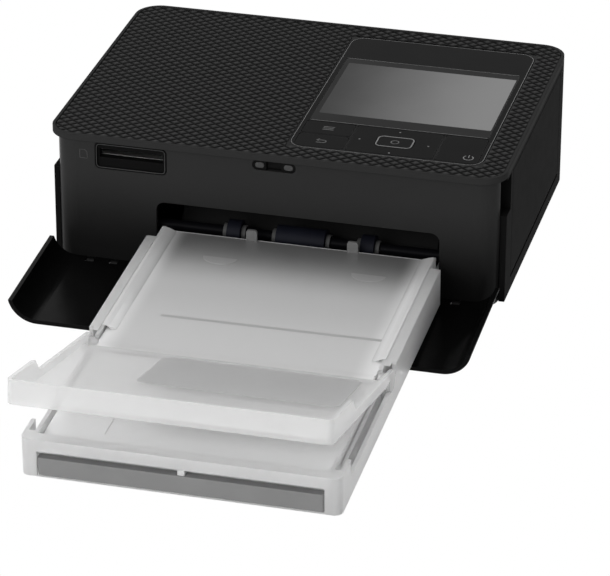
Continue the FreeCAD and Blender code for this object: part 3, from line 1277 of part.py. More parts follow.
def gear_outline(name, turn):
    """Points of one gear's toothed outline about its own centre, in the YZ plane."""
    radius = pitch_radius(name)
    tip = radius + S.gearModule.number * 0.85
    root = radius - S.gearModule.number * 1.15
    pitch = 2 * math.pi / TEETH[name]
    points = []
    for tooth in range(TEETH[name]):
        middle = turn + pitch * tooth
        for reach, share in ((root, -0.33), (radius, -0.21), (tip, -0.10), (tip, 0.10), (radius, 0.21),
                             (root, 0.33)):
            angle = middle + pitch * share
            points.append(Vector(0, reach * math.cos(angle), reach * math.sin(angle)))
    return points


def make_gear(name, spots, turns, bore):
    points = gear_outline(name, turns[name])
    face = Part.Face(Part.makePolygon(points + points[:1]))
    wide = S.gearWide.number
    solid = face.extrude(Vector(wide, 0, 0))
    solid = solid.cut(Part.makeCylinder(bore, wide * 3, Vector(-wide, 0, 0), Vector(1, 0, 0)))
    item = doc.addObject("Part::Feature", "Gear")
    item.Shape = solid
    y, z = spots[name]
    item.Placement = Placement(Vector(GEAR_X.number, y, z), Rotation())
    return item


def make_gears():
    spots = gear_spots()
    turns = gear_turns(spots)
    for name in ("platen_gear", "capstan_gear", "pickup_gear"):
        gear = make_gear(name, spots, turns, S.shaftRadius.number)
        y, z = spots[name]
        hub = rod("X", S.shaftRadius + S.guideThick, S.gearOffset - S.seam * 3, (GEAR_X + S.gearWide, y, z))
        stub = rod("X", S.shaftRadius, S.gearWide + S.gearOffset - S.seam, (GEAR_X, y, z))
        node(fused(gear, hub, stub), name)
    for name in ("head_idler", "pickup_idler"):
        node(make_gear(name, spots, turns, S.idlerPinRadius.number + S.runningGap.number), name)
    y, z = spots["motor_pinion"]
    pinion = make_gear("motor_pinion", spots, turns, S.motorShaftRadius.number)
    face = GEAR_X - S.gearOffset
    shaft = rod("X", S.motorShaftRadius, S.gearWide + S.gearOffset + S.motorLength / 2,
                (face - S.motorLength / 2, y, z))
    node(fused(pinion, shaft), "motor_pinion")
    body = turned("X", [(-S.motorLength, 0), (-S.motorLength, S.motorRadius * 0.8),
                        (-S.motorLength * 0.94, S.motorRadius),
                        (0, S.motorRadius), (0, S.shaftRadius), (S.seam * 2, S.shaftRadius),
                        (S.seam * 2, 0)],
                  (face - S.plateSheet, y, z))
    bore = rod("X", S.motorShaftRadius + S.runningGap, S.motorLength, (face - S.motorLength * 0.6, y, z))
    node(cut(body, bore), "feed_motor")
    low = FLOOR.number
    plate = block((face - S.plateSheet, y - S.motorRadius.number, low),
                  (S.plateSheet, S.motorRadius * 2, z + S.motorRadius.number - low))
    hole = rod("X", S.shaftRadius + S.runningGap, OVER * 2, (face - OVER, y, z))
    node(cut(plate, hole), "motor_bracket")


# Ribbon cassette

def make_ribbon():
    left = -S.ribbonLeft
    length = S.ribbonLeft + S.ribbonRight
    tubes = []
    hollows = []
    for y, z in (SUPPLY, TAKEUP):
        tubes.append(rod("X", S.ribbonTube, length, (left, y, z)))
        hollows.append(rod("X", S.ribbonTube - S.ribbonWall, length - S.ribbonWall * 2,
                           (left + S.ribbonWall, y, z)))
        hollows.append(block((left + S.ribbonWall, y - S.ribbonMouth / 2, z - S.ribbonTube * 1.2),
                             (length - S.ribbonWall * 2, S.ribbonMouth, S.ribbonTube)))
    span = TAKEUP[0] - SUPPLY[0]
    arms = []
    for x in (left, S.ribbonRight - S.ribbonArmThick):
        arms.append(block((x, SUPPLY[0], S.ribbonArmLevel), (S.ribbonArmThick, span, S.ribbonArmHeight)))
        for y, z in (SUPPLY, TAKEUP):
            arms.append(block((x, y - S.ribbonMouth / 2 - S.ribbonWall, S.ribbonArmLevel),
                              (S.ribbonArmThick, S.ribbonMouth + S.ribbonWall * 2, S.ribbonTube)))
    grip = slab("YZ", 0, 0, span, S.ribbonArmHeight, S.ribbonGrip,
                (S.ribbonRight - S.seam, SUPPLY[0], S.ribbonArmLevel))
    pins = []
    for y, z in (SUPPLY, TAKEUP):
        pins.append(rod("X", S.idlerPinRadius, S.spoolEnd * 2, (left + S.ribbonWall / 2, y, z)))
        pins.append(rod("X", S.idlerPinRadius, S.spoolEnd * 2,
                        (S.ribbonRight - S.ribbonWall / 2 - S.spoolEnd * 2, y, z)))
    node(fused(cut(fused(*tubes, *arms), *hollows), grip, *pins), "ribbon_case")
    play = S.ribbonWall + S.freeGap
    for name, (y, z) in (("supply_spool", SUPPLY), ("takeup_spool", TAKEUP)):
        wound = length - S.printWidth
        spool = stepped("X", 0, [(wound / 2, S.spoolCore), (S.printWidth - play * 2, S.spoolRadius),
                                 (wound / 2, S.spoolCore)], (left + play, y, z))
        ends = [rod("X", S.idlerPinRadius + S.runningGap, S.spoolEnd * 3, (left, y, z)),
                rod("X", S.idlerPinRadius + S.runningGap, S.spoolEnd * 3,
                    (S.ribbonRight - S.spoolEnd * 3, y, z))]
        node(cut(spool, *ends), name)
    node(block((PRINT_LEFT + S.ribbonWall, SUPPLY[0], S.pathLevel + S.freeGap),
               (S.printWidth - S.ribbonWall * 2, span, S.filmThick)), "ribbon_film")


def make_lever():
    x = PLATE_IN_RIGHT + S.plateSheet
    y, z = LEVER
    arm = slab("YZ", -S.leverThick, -S.leverThick, S.leverThick * 2, S.leverLength, S.leverThick,
               (x + S.seam, y, z), S.leverThick * 0.8)
    tip = slab("YZ", -S.leverThick, S.leverLength - S.leverThick * 2, S.leverThick * 2, S.leverThick,
               S.leverThick * 2.5,
               (x + S.seam, y, z), S.leverThick * 0.3)
    bore = rod("X", S.leverPinRadius + S.runningGap, OVER * 2, (x - OVER / 2, y, z))
    node(cut(fused(arm, tip), bore), "ribbon_lever")


# Boards and sockets

def make_boards():
    post = S.mainBoardLevel - FLOOR
    x = -INNER + S.footInset / 3
    y = FRONT + S.mainBoardStart
    board = [block((x, y, S.mainBoardLevel), (S.mainBoardWidth, S.mainBoardLength, S.boardThick))]
    for px in (x, x + S.mainBoardWidth - S.bossRadius):
        for py in (y, y + S.mainBoardLength - S.bossRadius):
            board.append(block((px, py, FLOOR), (S.bossRadius, S.bossRadius, post)))
    board.append(block((x + S.mainBoardWidth / 3, y + S.mainBoardLength / 4,
                        S.mainBoardLevel + S.boardThick),
                       (S.chipSize, S.chipSize, S.chipThick)))
    node(fused(*board), "main_board")
    wide = S.mainBoardWidth
    start = FRONT + S.hostStart - S.seam * 5
    deep = BACK - S.caseWall - S.seam * 8 - start
    level = SOCKET_LEVEL - S.boardThick
    io = [block((x, start, level), (wide, deep, S.boardThick))]
    for px in (x + S.bossRadius * 4, x + wide - S.bossRadius):
        io.append(block((px, start, FLOOR), (S.bossRadius, S.bossRadius, level - FLOOR)))
        io.append(block((px, start + deep / 2, FLOOR), (S.bossRadius, S.bossRadius, level - FLOOR)))
    node(fused(*io), "socket_board")


def make_sockets():
    rear = BACK - S.seam * 2
    gap = S.seam
    jack = block((-S.jackMiddle - S.jackWidth / 2 + gap, rear - S.jackDeep, SOCKET_LEVEL),
                 (S.jackWidth - gap * 2, S.jackDeep, S.jackHeight - gap))
    bore = rod("Y", S.jackBore, S.jackDeep, (-S.jackMiddle, rear - S.jackDeep * 0.7, S.jackLevel))
    pin = rod("Y", S.jackPin, S.jackDeep * 0.6, (-S.jackMiddle, rear - S.jackDeep * 0.75, S.jackLevel))
    node(fused(cut(jack, bore), pin), "power_inlet")
    small = slab("XZ", 0, 0, S.usbWidth - gap * 2, S.usbHeight - gap, S.usbDeep,
                 (-S.usbMiddle - S.usbWidth / 2 + gap, rear - S.usbDeep, SOCKET_LEVEL), S.usbHeight * 0.4)
    inside = slab("XZ", 0, 0, S.usbWidth - gap * 5, S.usbHeight - gap * 4, S.usbDeep,
                  (-S.usbMiddle - S.usbWidth / 2 + gap * 2.5, rear - S.usbDeep * 0.75,
                   SOCKET_LEVEL + gap * 1.5),
                  S.usbHeight * 0.25)
    tongue = block((-S.usbMiddle - S.usbWidth / 4, rear - S.usbDeep * 0.8,
                    SOCKET_LEVEL + S.usbHeight / 2 - gap * 2),
                   (S.usbWidth / 2, S.usbDeep * 0.6, gap * 3))
    node(fused(cut(small, inside), tongue), "small_socket")
    side = -SIDE + gap * 2
    host = block((side, FRONT + S.hostStart + gap, SOCKET_LEVEL),
                 (S.hostDeep, S.hostWidth - gap * 2, S.hostHeight - gap))
    mouth = block((side - gap, FRONT + S.hostStart + gap * 4, SOCKET_LEVEL + gap * 3),
                  (S.hostDeep * 0.8, S.hostWidth - gap * 8, S.hostHeight - gap * 7))
    blade = block((side + gap * 4, FRONT + S.hostStart + gap * 6, SOCKET_LEVEL + S.hostHeight * 0.55),
                  (S.hostDeep * 0.8, S.hostWidth - gap * 12, gap * 6))
    node(fused(cut(host, mouth), blade), "wide_socket")


def make_all():
    make_main_case()
    make_top_cover()
    make_front_shell()
    make_base_tray()
    make_hinge_pins()
    make_feet_and_screws()
    make_front_cover()
    make_side_door()
    make_control_panel()
    make_display()
    for name in KEYS:
        make_key(name)
    make_key_board()
    make_card_slot()
    make_cover_catch()
    make_cassette_base()
    make_cassette_lid()
    make_front_deck()
    make_front_bar()
    make_paper()
    make_catch_tray()
    make_side_plates()
    make_cross_stay()
    make_rollers()
    make_pickup()
    make_guides()
    make_head()
    make_gears()
    make_ribbon()
    make_lever()
    make_boards()
    make_sockets()


def check_and_write():
    doc.recompute()
    for item in doc.Objects:
        if "Invalid" in item.State or "Error" in item.State:
            raise RuntimeError("%s failed: %s" % (item.Label, item.State))
    os.makedirs("parts", exist_ok=True)
    for item in nodes:
        shape = item.Shape
        if shape.isNull() or not shape.isValid() or not shape.Solids:
            raise RuntimeError("%s has no valid solid" % item.Label)
        shape.exportStep("parts/%s.step" % item.Label)
        box = shape.BoundBox
        print("%-20s %d solids  x %.1f..%.1f  y %.1f..%.1f  z %.1f..%.1f" % (
            item.Label, len(shape.Solids), box.XMin, box.XMax, box.YMin, box.YMax, box.ZMin, box.ZMax))
    print(len(nodes), "nodes")


make_all()
check_and_write()
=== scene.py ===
"""Looks of the compact photo printer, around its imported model. Metres, Z up, front towards -Y."""
import json
import math

import bmesh
import bpy
from mathutils import Matrix, Vector


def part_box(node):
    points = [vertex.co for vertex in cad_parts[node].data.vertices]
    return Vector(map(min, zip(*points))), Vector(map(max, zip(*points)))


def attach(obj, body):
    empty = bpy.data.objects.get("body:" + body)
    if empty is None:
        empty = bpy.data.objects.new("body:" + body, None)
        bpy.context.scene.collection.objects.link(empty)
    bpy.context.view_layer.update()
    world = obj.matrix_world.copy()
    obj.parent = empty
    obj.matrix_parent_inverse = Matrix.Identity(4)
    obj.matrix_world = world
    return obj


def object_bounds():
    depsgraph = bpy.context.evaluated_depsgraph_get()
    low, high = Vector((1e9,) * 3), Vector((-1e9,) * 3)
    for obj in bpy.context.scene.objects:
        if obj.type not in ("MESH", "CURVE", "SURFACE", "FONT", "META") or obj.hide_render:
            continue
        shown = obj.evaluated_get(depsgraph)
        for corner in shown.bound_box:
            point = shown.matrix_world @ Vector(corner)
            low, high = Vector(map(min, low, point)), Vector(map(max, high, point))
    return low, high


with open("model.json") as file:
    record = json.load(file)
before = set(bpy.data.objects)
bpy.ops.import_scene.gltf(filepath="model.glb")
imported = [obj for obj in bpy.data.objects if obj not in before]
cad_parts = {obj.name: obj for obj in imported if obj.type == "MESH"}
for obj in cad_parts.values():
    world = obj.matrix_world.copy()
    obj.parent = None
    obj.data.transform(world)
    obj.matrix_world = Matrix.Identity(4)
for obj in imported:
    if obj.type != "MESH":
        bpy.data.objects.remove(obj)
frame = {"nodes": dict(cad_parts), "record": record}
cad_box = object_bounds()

MM = 0.001
nodes = frame["nodes"]


# Places on the model

top_low, top_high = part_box("top_cover")
panel_low, panel_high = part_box("control_panel")
cassette_low, cassette_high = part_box("cassette_base")
FRONT_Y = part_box("main_case")[0].y
BODY_MIDDLE = 66.5 * MM
TOP_Z = top_high.z
CASSETTE_MIDDLE = (cassette_low.x + cassette_high.x) / 2
CASSETTE_LEVEL = 6.5 * MM
CASSETTE_TILT = math.radians(1.58)
TRAY_HINGE = (-88 * MM, 11 * MM)
TRAY_SLOPE = math.radians(14.1)

# Frames in which flat pieces are drawn: level, on the front, on the cassette and on its tray
FLAT = Matrix.Identity(4)
UPRIGHT = Matrix(((1, 0, 0, 0), (0, 0, -1, 0), (0, 1, 0, 0), (0, 0, 0, 1)))
CASSETTE_FRAME = (Matrix.Translation((CASSETTE_MIDDLE, FRONT_Y, CASSETTE_LEVEL))
                  @ Matrix.Rotation(CASSETTE_TILT, 4, "X"))
TRAY_FRAME = (Matrix.Translation(CASSETTE_FRAME @ Vector((0, *TRAY_HINGE)))
              @ Matrix.Rotation(-TRAY_SLOPE, 4, "X"))

# Frame, body and slot of the pieces that sit in one place
ON_PANEL = (FLAT, "housing", "panel")
ON_GLASS = (FLAT, "housing", "glass")
ON_FRONT = (UPRIGHT, "housing", "case")
ON_CATCH = (UPRIGHT, "housing", "clear")
ON_LID = (CASSETTE_FRAME, "cassette_lid", "frosted")
ON_BASE = (CASSETTE_FRAME, "cassette", "frosted")
ON_TRAY = (TRAY_FRAME, "catch_tray", "frosted")


# Camera, seen as in the photograph

CAMERA_SIDE = 0.333
CAMERA_AWAY = 1.319127
CAMERA_HEIGHT = 0.6635
CAMERA_FORWARD = Vector((-0.219955, 0.862702, -0.455373))
CAMERA_RIGHT = Vector((0.968636, 0.248467, 0.002848))
CAMERA_LENS = 219.29
SENSOR_WIDTH = 36.0
CAMERA_REACH = 20


def make_camera():
    data = bpy.data.cameras.new("camera")
    data.lens = CAMERA_LENS
    data.sensor_fit = "HORIZONTAL"
    data.sensor_width = SENSOR_WIDTH
    data.clip_end = CAMERA_REACH
    camera = bpy.data.objects.new("camera", data)
    forward = CAMERA_FORWARD.normalized()
    up = CAMERA_RIGHT.cross(forward).normalized()
    right = forward.cross(up)
    turn = Matrix((right, up, -forward)).transposed().to_4x4()
    place = Vector((CAMERA_SIDE, FRONT_Y + BODY_MIDDLE - CAMERA_AWAY, CAMERA_HEIGHT))
    camera.matrix_world = Matrix.Translation(place) @ turn
    bpy.context.scene.collection.objects.link(camera)
    bpy.context.scene.camera = camera


# Shader nodes

def feed(tree, socket, value):
    """Link a socket to the socket that feeds it, or set it to a plain value."""
    if isinstance(value, bpy.types.NodeSocket):
        tree.links.new(value, socket)
    else:
        socket.default_value = value


def math_node(tree, kind, operation, *values):
    """The outputs of a node that works on plain values or other nodes' sockets."""
    item = tree.nodes.new(kind)
    item.operation = operation
    for socket, value in zip(item.inputs, values):
        feed(tree, socket, value)
    return item.outputs


def number(tree, operation, *values):
    return math_node(tree, "ShaderNodeMath", operation, *values)["Value"]


def coordinates(tree):
    """The object's own coordinates, in metres."""
    return tree.nodes.new("ShaderNodeTexCoord").outputs["Object"]


def along_axis(tree, axis):
    split = tree.nodes.new("ShaderNodeSeparateXYZ")
    tree.links.new(coordinates(tree), split.inputs["Vector"])
    return split.outputs[axis]


def patches(tree, size, detail=2.0):
    """Slow noise whose patches have about the given size."""
    noise = tree.nodes.new("ShaderNodeTexNoise")
    noise.inputs["Scale"].default_value = 1 / size
    noise.inputs["Detail"].default_value = detail
    tree.links.new(coordinates(tree), noise.inputs["Vector"])
    return noise.outputs["Fac"]


def share_between(tree, value, start, end, smooth=True):
    """Zero at the start, one at the end."""
    span = tree.nodes.new("ShaderNodeMapRange")
    if smooth:
        span.interpolation_type = "SMOOTHSTEP"
    span.inputs["From Min"].default_value = start
    span.inputs["From Max"].default_value = end
    tree.links.new(value, span.inputs["Value"])
    return span.outputs["Result"]


def two_colours(tree, share, first, second, start=0.0, end=1.0):
    ramp = tree.nodes.new("ShaderNodeValToRGB")
    for element, colour, place in zip(ramp.color_ramp.elements, (first, second), (start, end)):
        element.color = (*colour, 1)
        element.position = place
    tree.links.new(share, ramp.inputs["Fac"])
    return ramp


# Light

WORLD_LIGHT = 0.35
LIGHT_MIDDLE = (0, 0, 0.03)
# Place, size and power in watts of each lamp
LAMPS = {
    "key_lamp": ((-1.2, 0.9, 1.6), (1.0, 1.0), 18),
    "fill_lamp": ((-0.7, -1.9, 0.8), (1.6, 1.2), 20),
    "back_lamp": ((0.75, 1.9, 1.1), (1.2, 0.7), 11),
}


def background_rays(tree):
    """One for the rays that show the background: straight, mirrored or through clear plastic."""
    path = tree.nodes.new("ShaderNodeLightPath").outputs
    direct = number(tree, "MAXIMUM", path["Is Camera Ray"], path["Is Glossy Ray"])
    return number(tree, "MAXIMUM", direct, path["Is Transmission Ray"])


def make_world():
    world = bpy.data.worlds.new("studio")
    bpy.context.scene.world = world
    world.use_nodes = True
    tree = world.node_tree
    tree.nodes.clear()
    out = tree.nodes.new("ShaderNodeOutputWorld")
    seen = tree.nodes.new("ShaderNodeBackground")
    seen.inputs["Color"].default_value = (1, 1, 1, 1)
    seen.inputs["Strength"].default_value = 1.0
    light = tree.nodes.new("ShaderNodeBackground")
    light.inputs["Color"].default_value = (1, 1, 1, 1)
    light.inputs["Strength"].default_value = WORLD_LIGHT
    mix = tree.nodes.new("ShaderNodeMixShader")
    tree.links.new(background_rays(tree), mix.inputs["Fac"])
    tree.links.new(light.outputs["Background"], mix.inputs[1])
    tree.links.new(seen.outputs["Background"], mix.inputs[2])
    tree.links.new(mix.outputs["Shader"], out.inputs["Surface"])


def make_lamps():
    for name, (place, size, power) in LAMPS.items():
        data = bpy.data.lights.new(name, "AREA")
        data.shape = "RECTANGLE"
        data.size, data.size_y = size
        data.energy = power
        lamp = bpy.data.objects.new(name, data)
        lamp.location = place
        aim = Vector(LIGHT_MIDDLE) - Vector(place)
        lamp.rotation_euler = aim.to_track_quat("-Z", "Y").to_euler()
        bpy.context.scene.collection.objects.link(lamp)


# Materials

EDGE_SOFTNESS = 0.35 * MM
EDGE_SAMPLES = 6
GRAIN_DETAIL = 3.0
FADE_NOISE = 0.12
PLASTIC_IOR = 1.45
# Where the painted shade near the mouth and the painted highlight at the lid's sides start and end
LID_DARK_START = 4 * MM
LID_LIGHT_END = -38 * MM
LID_SIDE_HIGHLIGHT_START = 43 * MM
LID_SIDE_HIGHLIGHT_END = 54 * MM
PATTERN_RISE = 0.45 * MM
PATTERN_LIFT = 0.01 * MM


def grey(value):
    return (value, value, value)


def new_material(name):
    mat = bpy.data.materials.new(name)
    mat.use_nodes = True
    return mat


def shader_of(mat):
    return mat.node_tree.nodes["Principled BSDF"]


def set_inputs(mat, **values):
    """Set the shader's sockets by their labels, written with underscores."""
    for label, value in values.items():
        socket = shader_of(mat).inputs[label.replace("_", " ").title().replace("Ior", "IOR")]
        socket.default_value = value


def drive(mat, label, value):
    mat.node_tree.links.new(value, shader_of(mat).inputs[label])


def add_grain(mat, size, depth, edge=EDGE_SOFTNESS):
    """A fine moulded grain over softened edges: bumps of the given size and depth."""
    tree = mat.node_tree
    bump = tree.nodes.new("ShaderNodeBump")
    bump.inputs["Strength"].default_value = 1.0
    bump.inputs["Distance"].default_value = depth
    tree.links.new(patches(tree, size, GRAIN_DETAIL), bump.inputs["Height"])
    if edge:
        bevel = tree.nodes.new("ShaderNodeBevel")
        bevel.samples = EDGE_SAMPLES
        bevel.inputs["Radius"].default_value = edge
        tree.links.new(bevel.outputs["Normal"], bump.inputs["Normal"])
    drive(mat, "Normal", bump.outputs["Normal"])


def vary_roughness(mat, size, low, high):
    tree = mat.node_tree
    span = tree.nodes.new("ShaderNodeMapRange")
    span.inputs["To Min"].default_value = low
    span.inputs["To Max"].default_value = high
    tree.links.new(patches(tree, size), span.inputs["Value"])
    drive(mat, "Roughness", span.outputs["Result"])


def vary_colour(mat, size, first, second):
    """Patches of two colours that differ a little."""
    tree = mat.node_tree
    ramp = two_colours(tree, patches(tree, size), first, second, 0.35, 0.65)
    drive(mat, "Base Color", ramp.outputs["Color"])


def fade_colour(mat, axis, start, end, first, second, patch=25 * MM):
    """Fade the base colour along one axis of the object, with a little noise in the fade."""
    tree = mat.node_tree
    place = number(tree, "MULTIPLY_ADD", patches(tree, patch), abs(end - start) * FADE_NOISE,
                   along_axis(tree, axis))
    ramp = two_colours(tree, share_between(tree, place, start, end), grey(first), grey(second))
    drive(mat, "Base Color", ramp.outputs["Color"])


def make_plastic(name, dark, light, roughness, specular=0.4, grain=0.25 * MM, depth=0.02 * MM):
    mat = new_material(name)
    vary_colour(mat, 14 * MM, dark, light)
    vary_roughness(mat, 6 * MM, roughness - 0.04, roughness + 0.04)
    set_inputs(mat, specular_ior_level=specular)
    add_grain(mat, grain, depth)
    return mat


def make_height_painted_plastic(name, start, end, first, second, patch, roughness, specular,
                        depth=0.01 * MM, edge=EDGE_SOFTNESS, roughness_patch=6 * MM):
    """Black plastic whose grey changes with its height: painted light and shade."""
    mat = new_material(name)
    fade_colour(mat, "Z", start, end, first, second, patch)
    vary_roughness(mat, roughness_patch, roughness - 0.04, roughness + 0.04)
    set_inputs(mat, specular_ior_level=specular)
    add_grain(mat, 0.25 * MM, depth, edge)
    return mat


def make_frosted(name, colour, transmission, roughness, soft=0.3, alpha=1.0):
    mat = new_material(name)
    vary_colour(mat, 30 * MM, grey(colour * 0.97), grey(colour))
    vary_roughness(mat, 8 * MM, roughness - 0.05, roughness + 0.05)
    set_inputs(mat, transmission_weight=transmission, ior=PLASTIC_IOR, subsurface_weight=soft,
               subsurface_radius=(1.0, 1.0, 1.0), subsurface_scale=5 * MM, alpha=alpha)
    add_grain(mat, 0.35 * MM, 0.015 * MM, edge=0)
    return mat


def make_metal(name, colour, roughness):
    mat = new_material(name)
    vary_colour(mat, 9 * MM, grey(colour * 0.93), grey(colour))
    vary_roughness(mat, 4 * MM, roughness - 0.05, roughness + 0.08)
    set_inputs(mat, metallic=1.0)
    add_grain(mat, 0.4 * MM, 0.004 * MM)
    return mat


def make_lid_plastic_painted_light(name, near, far, side):
    """Frosted plastic: darker near the mouth as painted shade and painted reflection of the dark front, where
    the dark inside also shows through, and lighter at its sides as a painted highlight.
    """
    mat = new_material(name)
    fade_colour(mat, "Y", FRONT_Y + LID_DARK_START, FRONT_Y + LID_LIGHT_END, near, far)
    tree = mat.node_tree
    mix = tree.nodes.new("ShaderNodeMix")
    mix.data_type = "RGBA"
    mix.inputs["B"].default_value = (*grey(side), 1)
    tree.links.new(shader_of(mat).inputs["Base Color"].links[0].from_socket, mix.inputs["A"])
    from_middle = number(tree, "ABSOLUTE", number(tree, "SUBTRACT", along_axis(tree, "X"), CASSETTE_MIDDLE))
    tree.links.new(share_between(tree, from_middle, LID_SIDE_HIGHLIGHT_START, LID_SIDE_HIGHLIGHT_END), mix.inputs["Factor"])
    drive(mat, "Base Color", mix.outputs["Result"])
    vary_roughness(mat, 8 * MM, 0.26, 0.34)
    set_inputs(mat, ior=PLASTIC_IOR, subsurface_weight=0.3, subsurface_radius=(1.0, 1.0, 1.0),
               subsurface_scale=3 * MM)
    add_grain(mat, 0.35 * MM, 0.008 * MM, edge=0)
    return mat


def make_shaft_plastic():
    """Black shaft with light collars: what lies far from its axis takes the light colour."""
    mat = new_material("pickup_shaft")
    tree = mat.node_tree
    low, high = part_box("pickup_shaft")
    away = math_node(tree, "ShaderNodeVectorMath", "SUBTRACT", coordinates(tree), (low + high) / 2)["Vector"]
    across = math_node(tree, "ShaderNodeVectorMath", "MULTIPLY", away, (0, 1, 1))["Vector"]
    radius = math_node(tree, "ShaderNodeVectorMath", "LENGTH", across)["Value"]
    share = share_between(tree, radius, 1.6 * MM, 3.6 * MM, smooth=False)
    ramp = two_colours(tree, share, (0.004, 0.004, 0.005), grey(0.10), end=0.5)
    ramp.color_ramp.interpolation = "CONSTANT"
    drive(mat, "Base Color", ramp.outputs["Color"])
    vary_roughness(mat, 5 * MM, 0.38, 0.48)
    set_inputs(mat, specular_ior_level=0.03)
    add_grain(mat, 0.4 * MM, 0.01 * MM)
    return mat


def make_screen_painted_reflection():
    """Dark glass with a painted reflection: its grey grows towards the right."""
    mat = new_material("screen_glass")
    low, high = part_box("display_glass")
    fade_colour(mat, "X", low.x - 2 * MM, high.x + 2 * MM, 0.045, 0.26)
    vary_roughness(mat, 10 * MM, 0.12, 0.18)
    set_inputs(mat, specular_ior_level=0.02)
    add_grain(mat, 3 * MM, 0.001 * MM, edge=0)
    return mat


RIM_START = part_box("front_shell")[1].z
MATERIALS = {
    # Case: the rim band above the front shell is painted lighter, a painted highlight where its rounded edge
    # catches light.
    "case": make_height_painted_plastic("case_black", RIM_START - 0.3 * MM, RIM_START + 0.3 * MM, 0.0085, 0.036,
                                patch=6 * MM, roughness=0.32, specular=0.0005),
    # Top cover: its edge band below the top is painted lighter, a painted highlight along the top's edge.
    "top": make_height_painted_plastic("top_black", TOP_Z - 0.9 * MM, TOP_Z - 0.1 * MM, 0.032, 0.002,
                               patch=2 * MM, roughness=0.36, specular=0.04),
    "panel": make_plastic("panel_gloss", grey(0.0045), grey(0.0055), roughness=0.14, specular=0.014,
                          grain=2 * MM, depth=0.002 * MM),
    "glass": make_plastic("display_gloss", grey(0.008), grey(0.011), roughness=0.12, specular=0.03,
                          grain=3 * MM, depth=0.001 * MM),
    "frosted": make_frosted("frosted_plastic", 0.95, transmission=0.45, roughness=0.36),
    "frosted_bar": make_plastic("bar_grey", grey(0.24), grey(0.26), roughness=0.45),
    "clear": make_plastic("smoked_pill", grey(0.004), grey(0.006), roughness=0.16, specular=0.05),
    "paper": make_plastic("paper_white", grey(0.80), grey(0.84), roughness=0.6, specular=0.3),
    "steel": make_metal("bright_steel", 0.55, roughness=0.3),
    "aluminium": make_metal("aluminium", 0.70, roughness=0.35),
    "rubber": make_plastic("black_rubber", grey(0.015), grey(0.022), roughness=0.75, specular=0.2),
    "tyre_blue": make_plastic("navy_tyre", (0.006, 0.0065, 0.011), (0.008, 0.009, 0.015), roughness=0.6,
                              specular=0.1),
    "inner_grey": make_plastic("inner_grey", grey(0.36), grey(0.42), roughness=0.45),
    "inner_black": make_plastic("inner_black", grey(0.012), grey(0.016), roughness=0.5),
    "gear": make_plastic("acetal", (0.70, 0.70, 0.66), (0.75, 0.75, 0.71), roughness=0.4),
    "film": make_plastic("wound_film", (0.05, 0.025, 0.04), (0.07, 0.035, 0.05), roughness=0.2, specular=0.5),
    "board": make_plastic("green_board", (0.01, 0.07, 0.03), (0.012, 0.09, 0.035), roughness=0.4),
}
# Inner parts painted nearly black, as painted shade inside the printer's mouth
SHADED_INNER_STEEL = make_metal("steel_painted_inner_shade", 0.010, roughness=0.42)
SHADED_INNER_GUIDE = make_plastic("guide_painted_inner_shade", grey(0.0025), grey(0.0035), roughness=0.5, specular=0.12)
SHADED_INNER_RUBBER = make_plastic("rubber_painted_inner_shade", grey(0.006), grey(0.009), roughness=0.7, specular=0.15)
COVER_BLACK = make_plastic("cover_gloss", grey(0.0035), grey(0.0045), roughness=0.20, specular=0.04)
# Front shell painted lighter towards its top, as painted light from the lamps above.
FRONT_BLACK = make_height_painted_plastic("front_black", 10 * MM, 48 * MM, 0.010, 0.034, patch=14 * MM,
                                  roughness=0.30, specular=0.02, depth=0.015 * MM)
# Pattern: valleys painted near black as painted shade, peaks lighter as painted highlight.
PATTERN_BLACK = make_height_painted_plastic("pattern_black", TOP_Z + PATTERN_LIFT, TOP_Z + PATTERN_RISE,
                                    0.0005, 0.050, patch=2 * MM, roughness=0.40, specular=0.01,
                                    edge=0, roughness_patch=5 * MM)
RIM_BLACK = make_plastic("rim_black", grey(0.002), grey(0.003), roughness=0.35, specular=0.04)
# Grey of printed marks, also used as the painted highlight inside the card slot
MARK_AND_HIGHLIGHT_GREY = make_plastic("mark_and_highlight_grey", grey(0.045), grey(0.055), roughness=0.35)
LINE_GREY = make_plastic("line_grey", grey(0.12), grey(0.15), roughness=0.30)
# Lid and its marks: painted shade near the mouth, painted highlight at the sides
LID_PLASTIC = make_lid_plastic_painted_light("lid_plastic", near=0.18, far=0.62, side=0.92)
LID_MARK = make_lid_plastic_painted_light("lid_mark", near=0.31, far=0.70, side=0.92)
TRAY_PLASTIC = make_frosted("tray_plastic", 0.95, transmission=0.2, roughness=0.32, alpha=0.52)
TRAY_WINDOW = make_frosted("tray_window", 0.70, transmission=0.2, roughness=0.36)
DECK_PLASTIC = make_frosted("deck_plastic", 0.97, transmission=0.05, roughness=0.36, soft=0.1)
# White of the bar's tab, and the painted highlight along the lid's rear edge
TAB_WHITE_AND_EDGE_HIGHLIGHT = make_frosted("tab_white_and_edge_highlight", 0.9, transmission=0.1, roughness=0.3)
# Grey for the painted shadow of the lid's step
STEP_SHADOW_GREY = make_frosted("step_shadow_grey", 0.58, transmission=0.0, roughness=0.4)
# Pieces whose look differs from the rest of their slot
SPECIAL = {
    "front_shell": FRONT_BLACK,
    "front_cover": COVER_BLACK,
    "pickup_shaft": make_shaft_plastic(),
    "cassette_lid": LID_PLASTIC,
    "catch_tray": TRAY_PLASTIC,
    "front_deck": DECK_PLASTIC,
    # Painted shade: these inner parts are darkened as the shade inside the mouth
    "left_side_plate": SHADED_INNER_STEEL,
    "right_side_plate": SHADED_INNER_STEEL,
    "capstan_roller": SHADED_INNER_STEEL,
    "pinch_roller": MATERIALS["inner_black"],
    "platen_roller": SHADED_INNER_RUBBER,
    "front_paper_guide": SHADED_INNER_GUIDE,
    "rear_paper_guide": SHADED_INNER_GUIDE,
    "base_tray": SHADED_INNER_GUIDE,
    "thermal_head": SHADED_INNER_GUIDE,
}


def dress(item, mat):
    item.data.materials.clear()
    item.data.materials.append(mat)


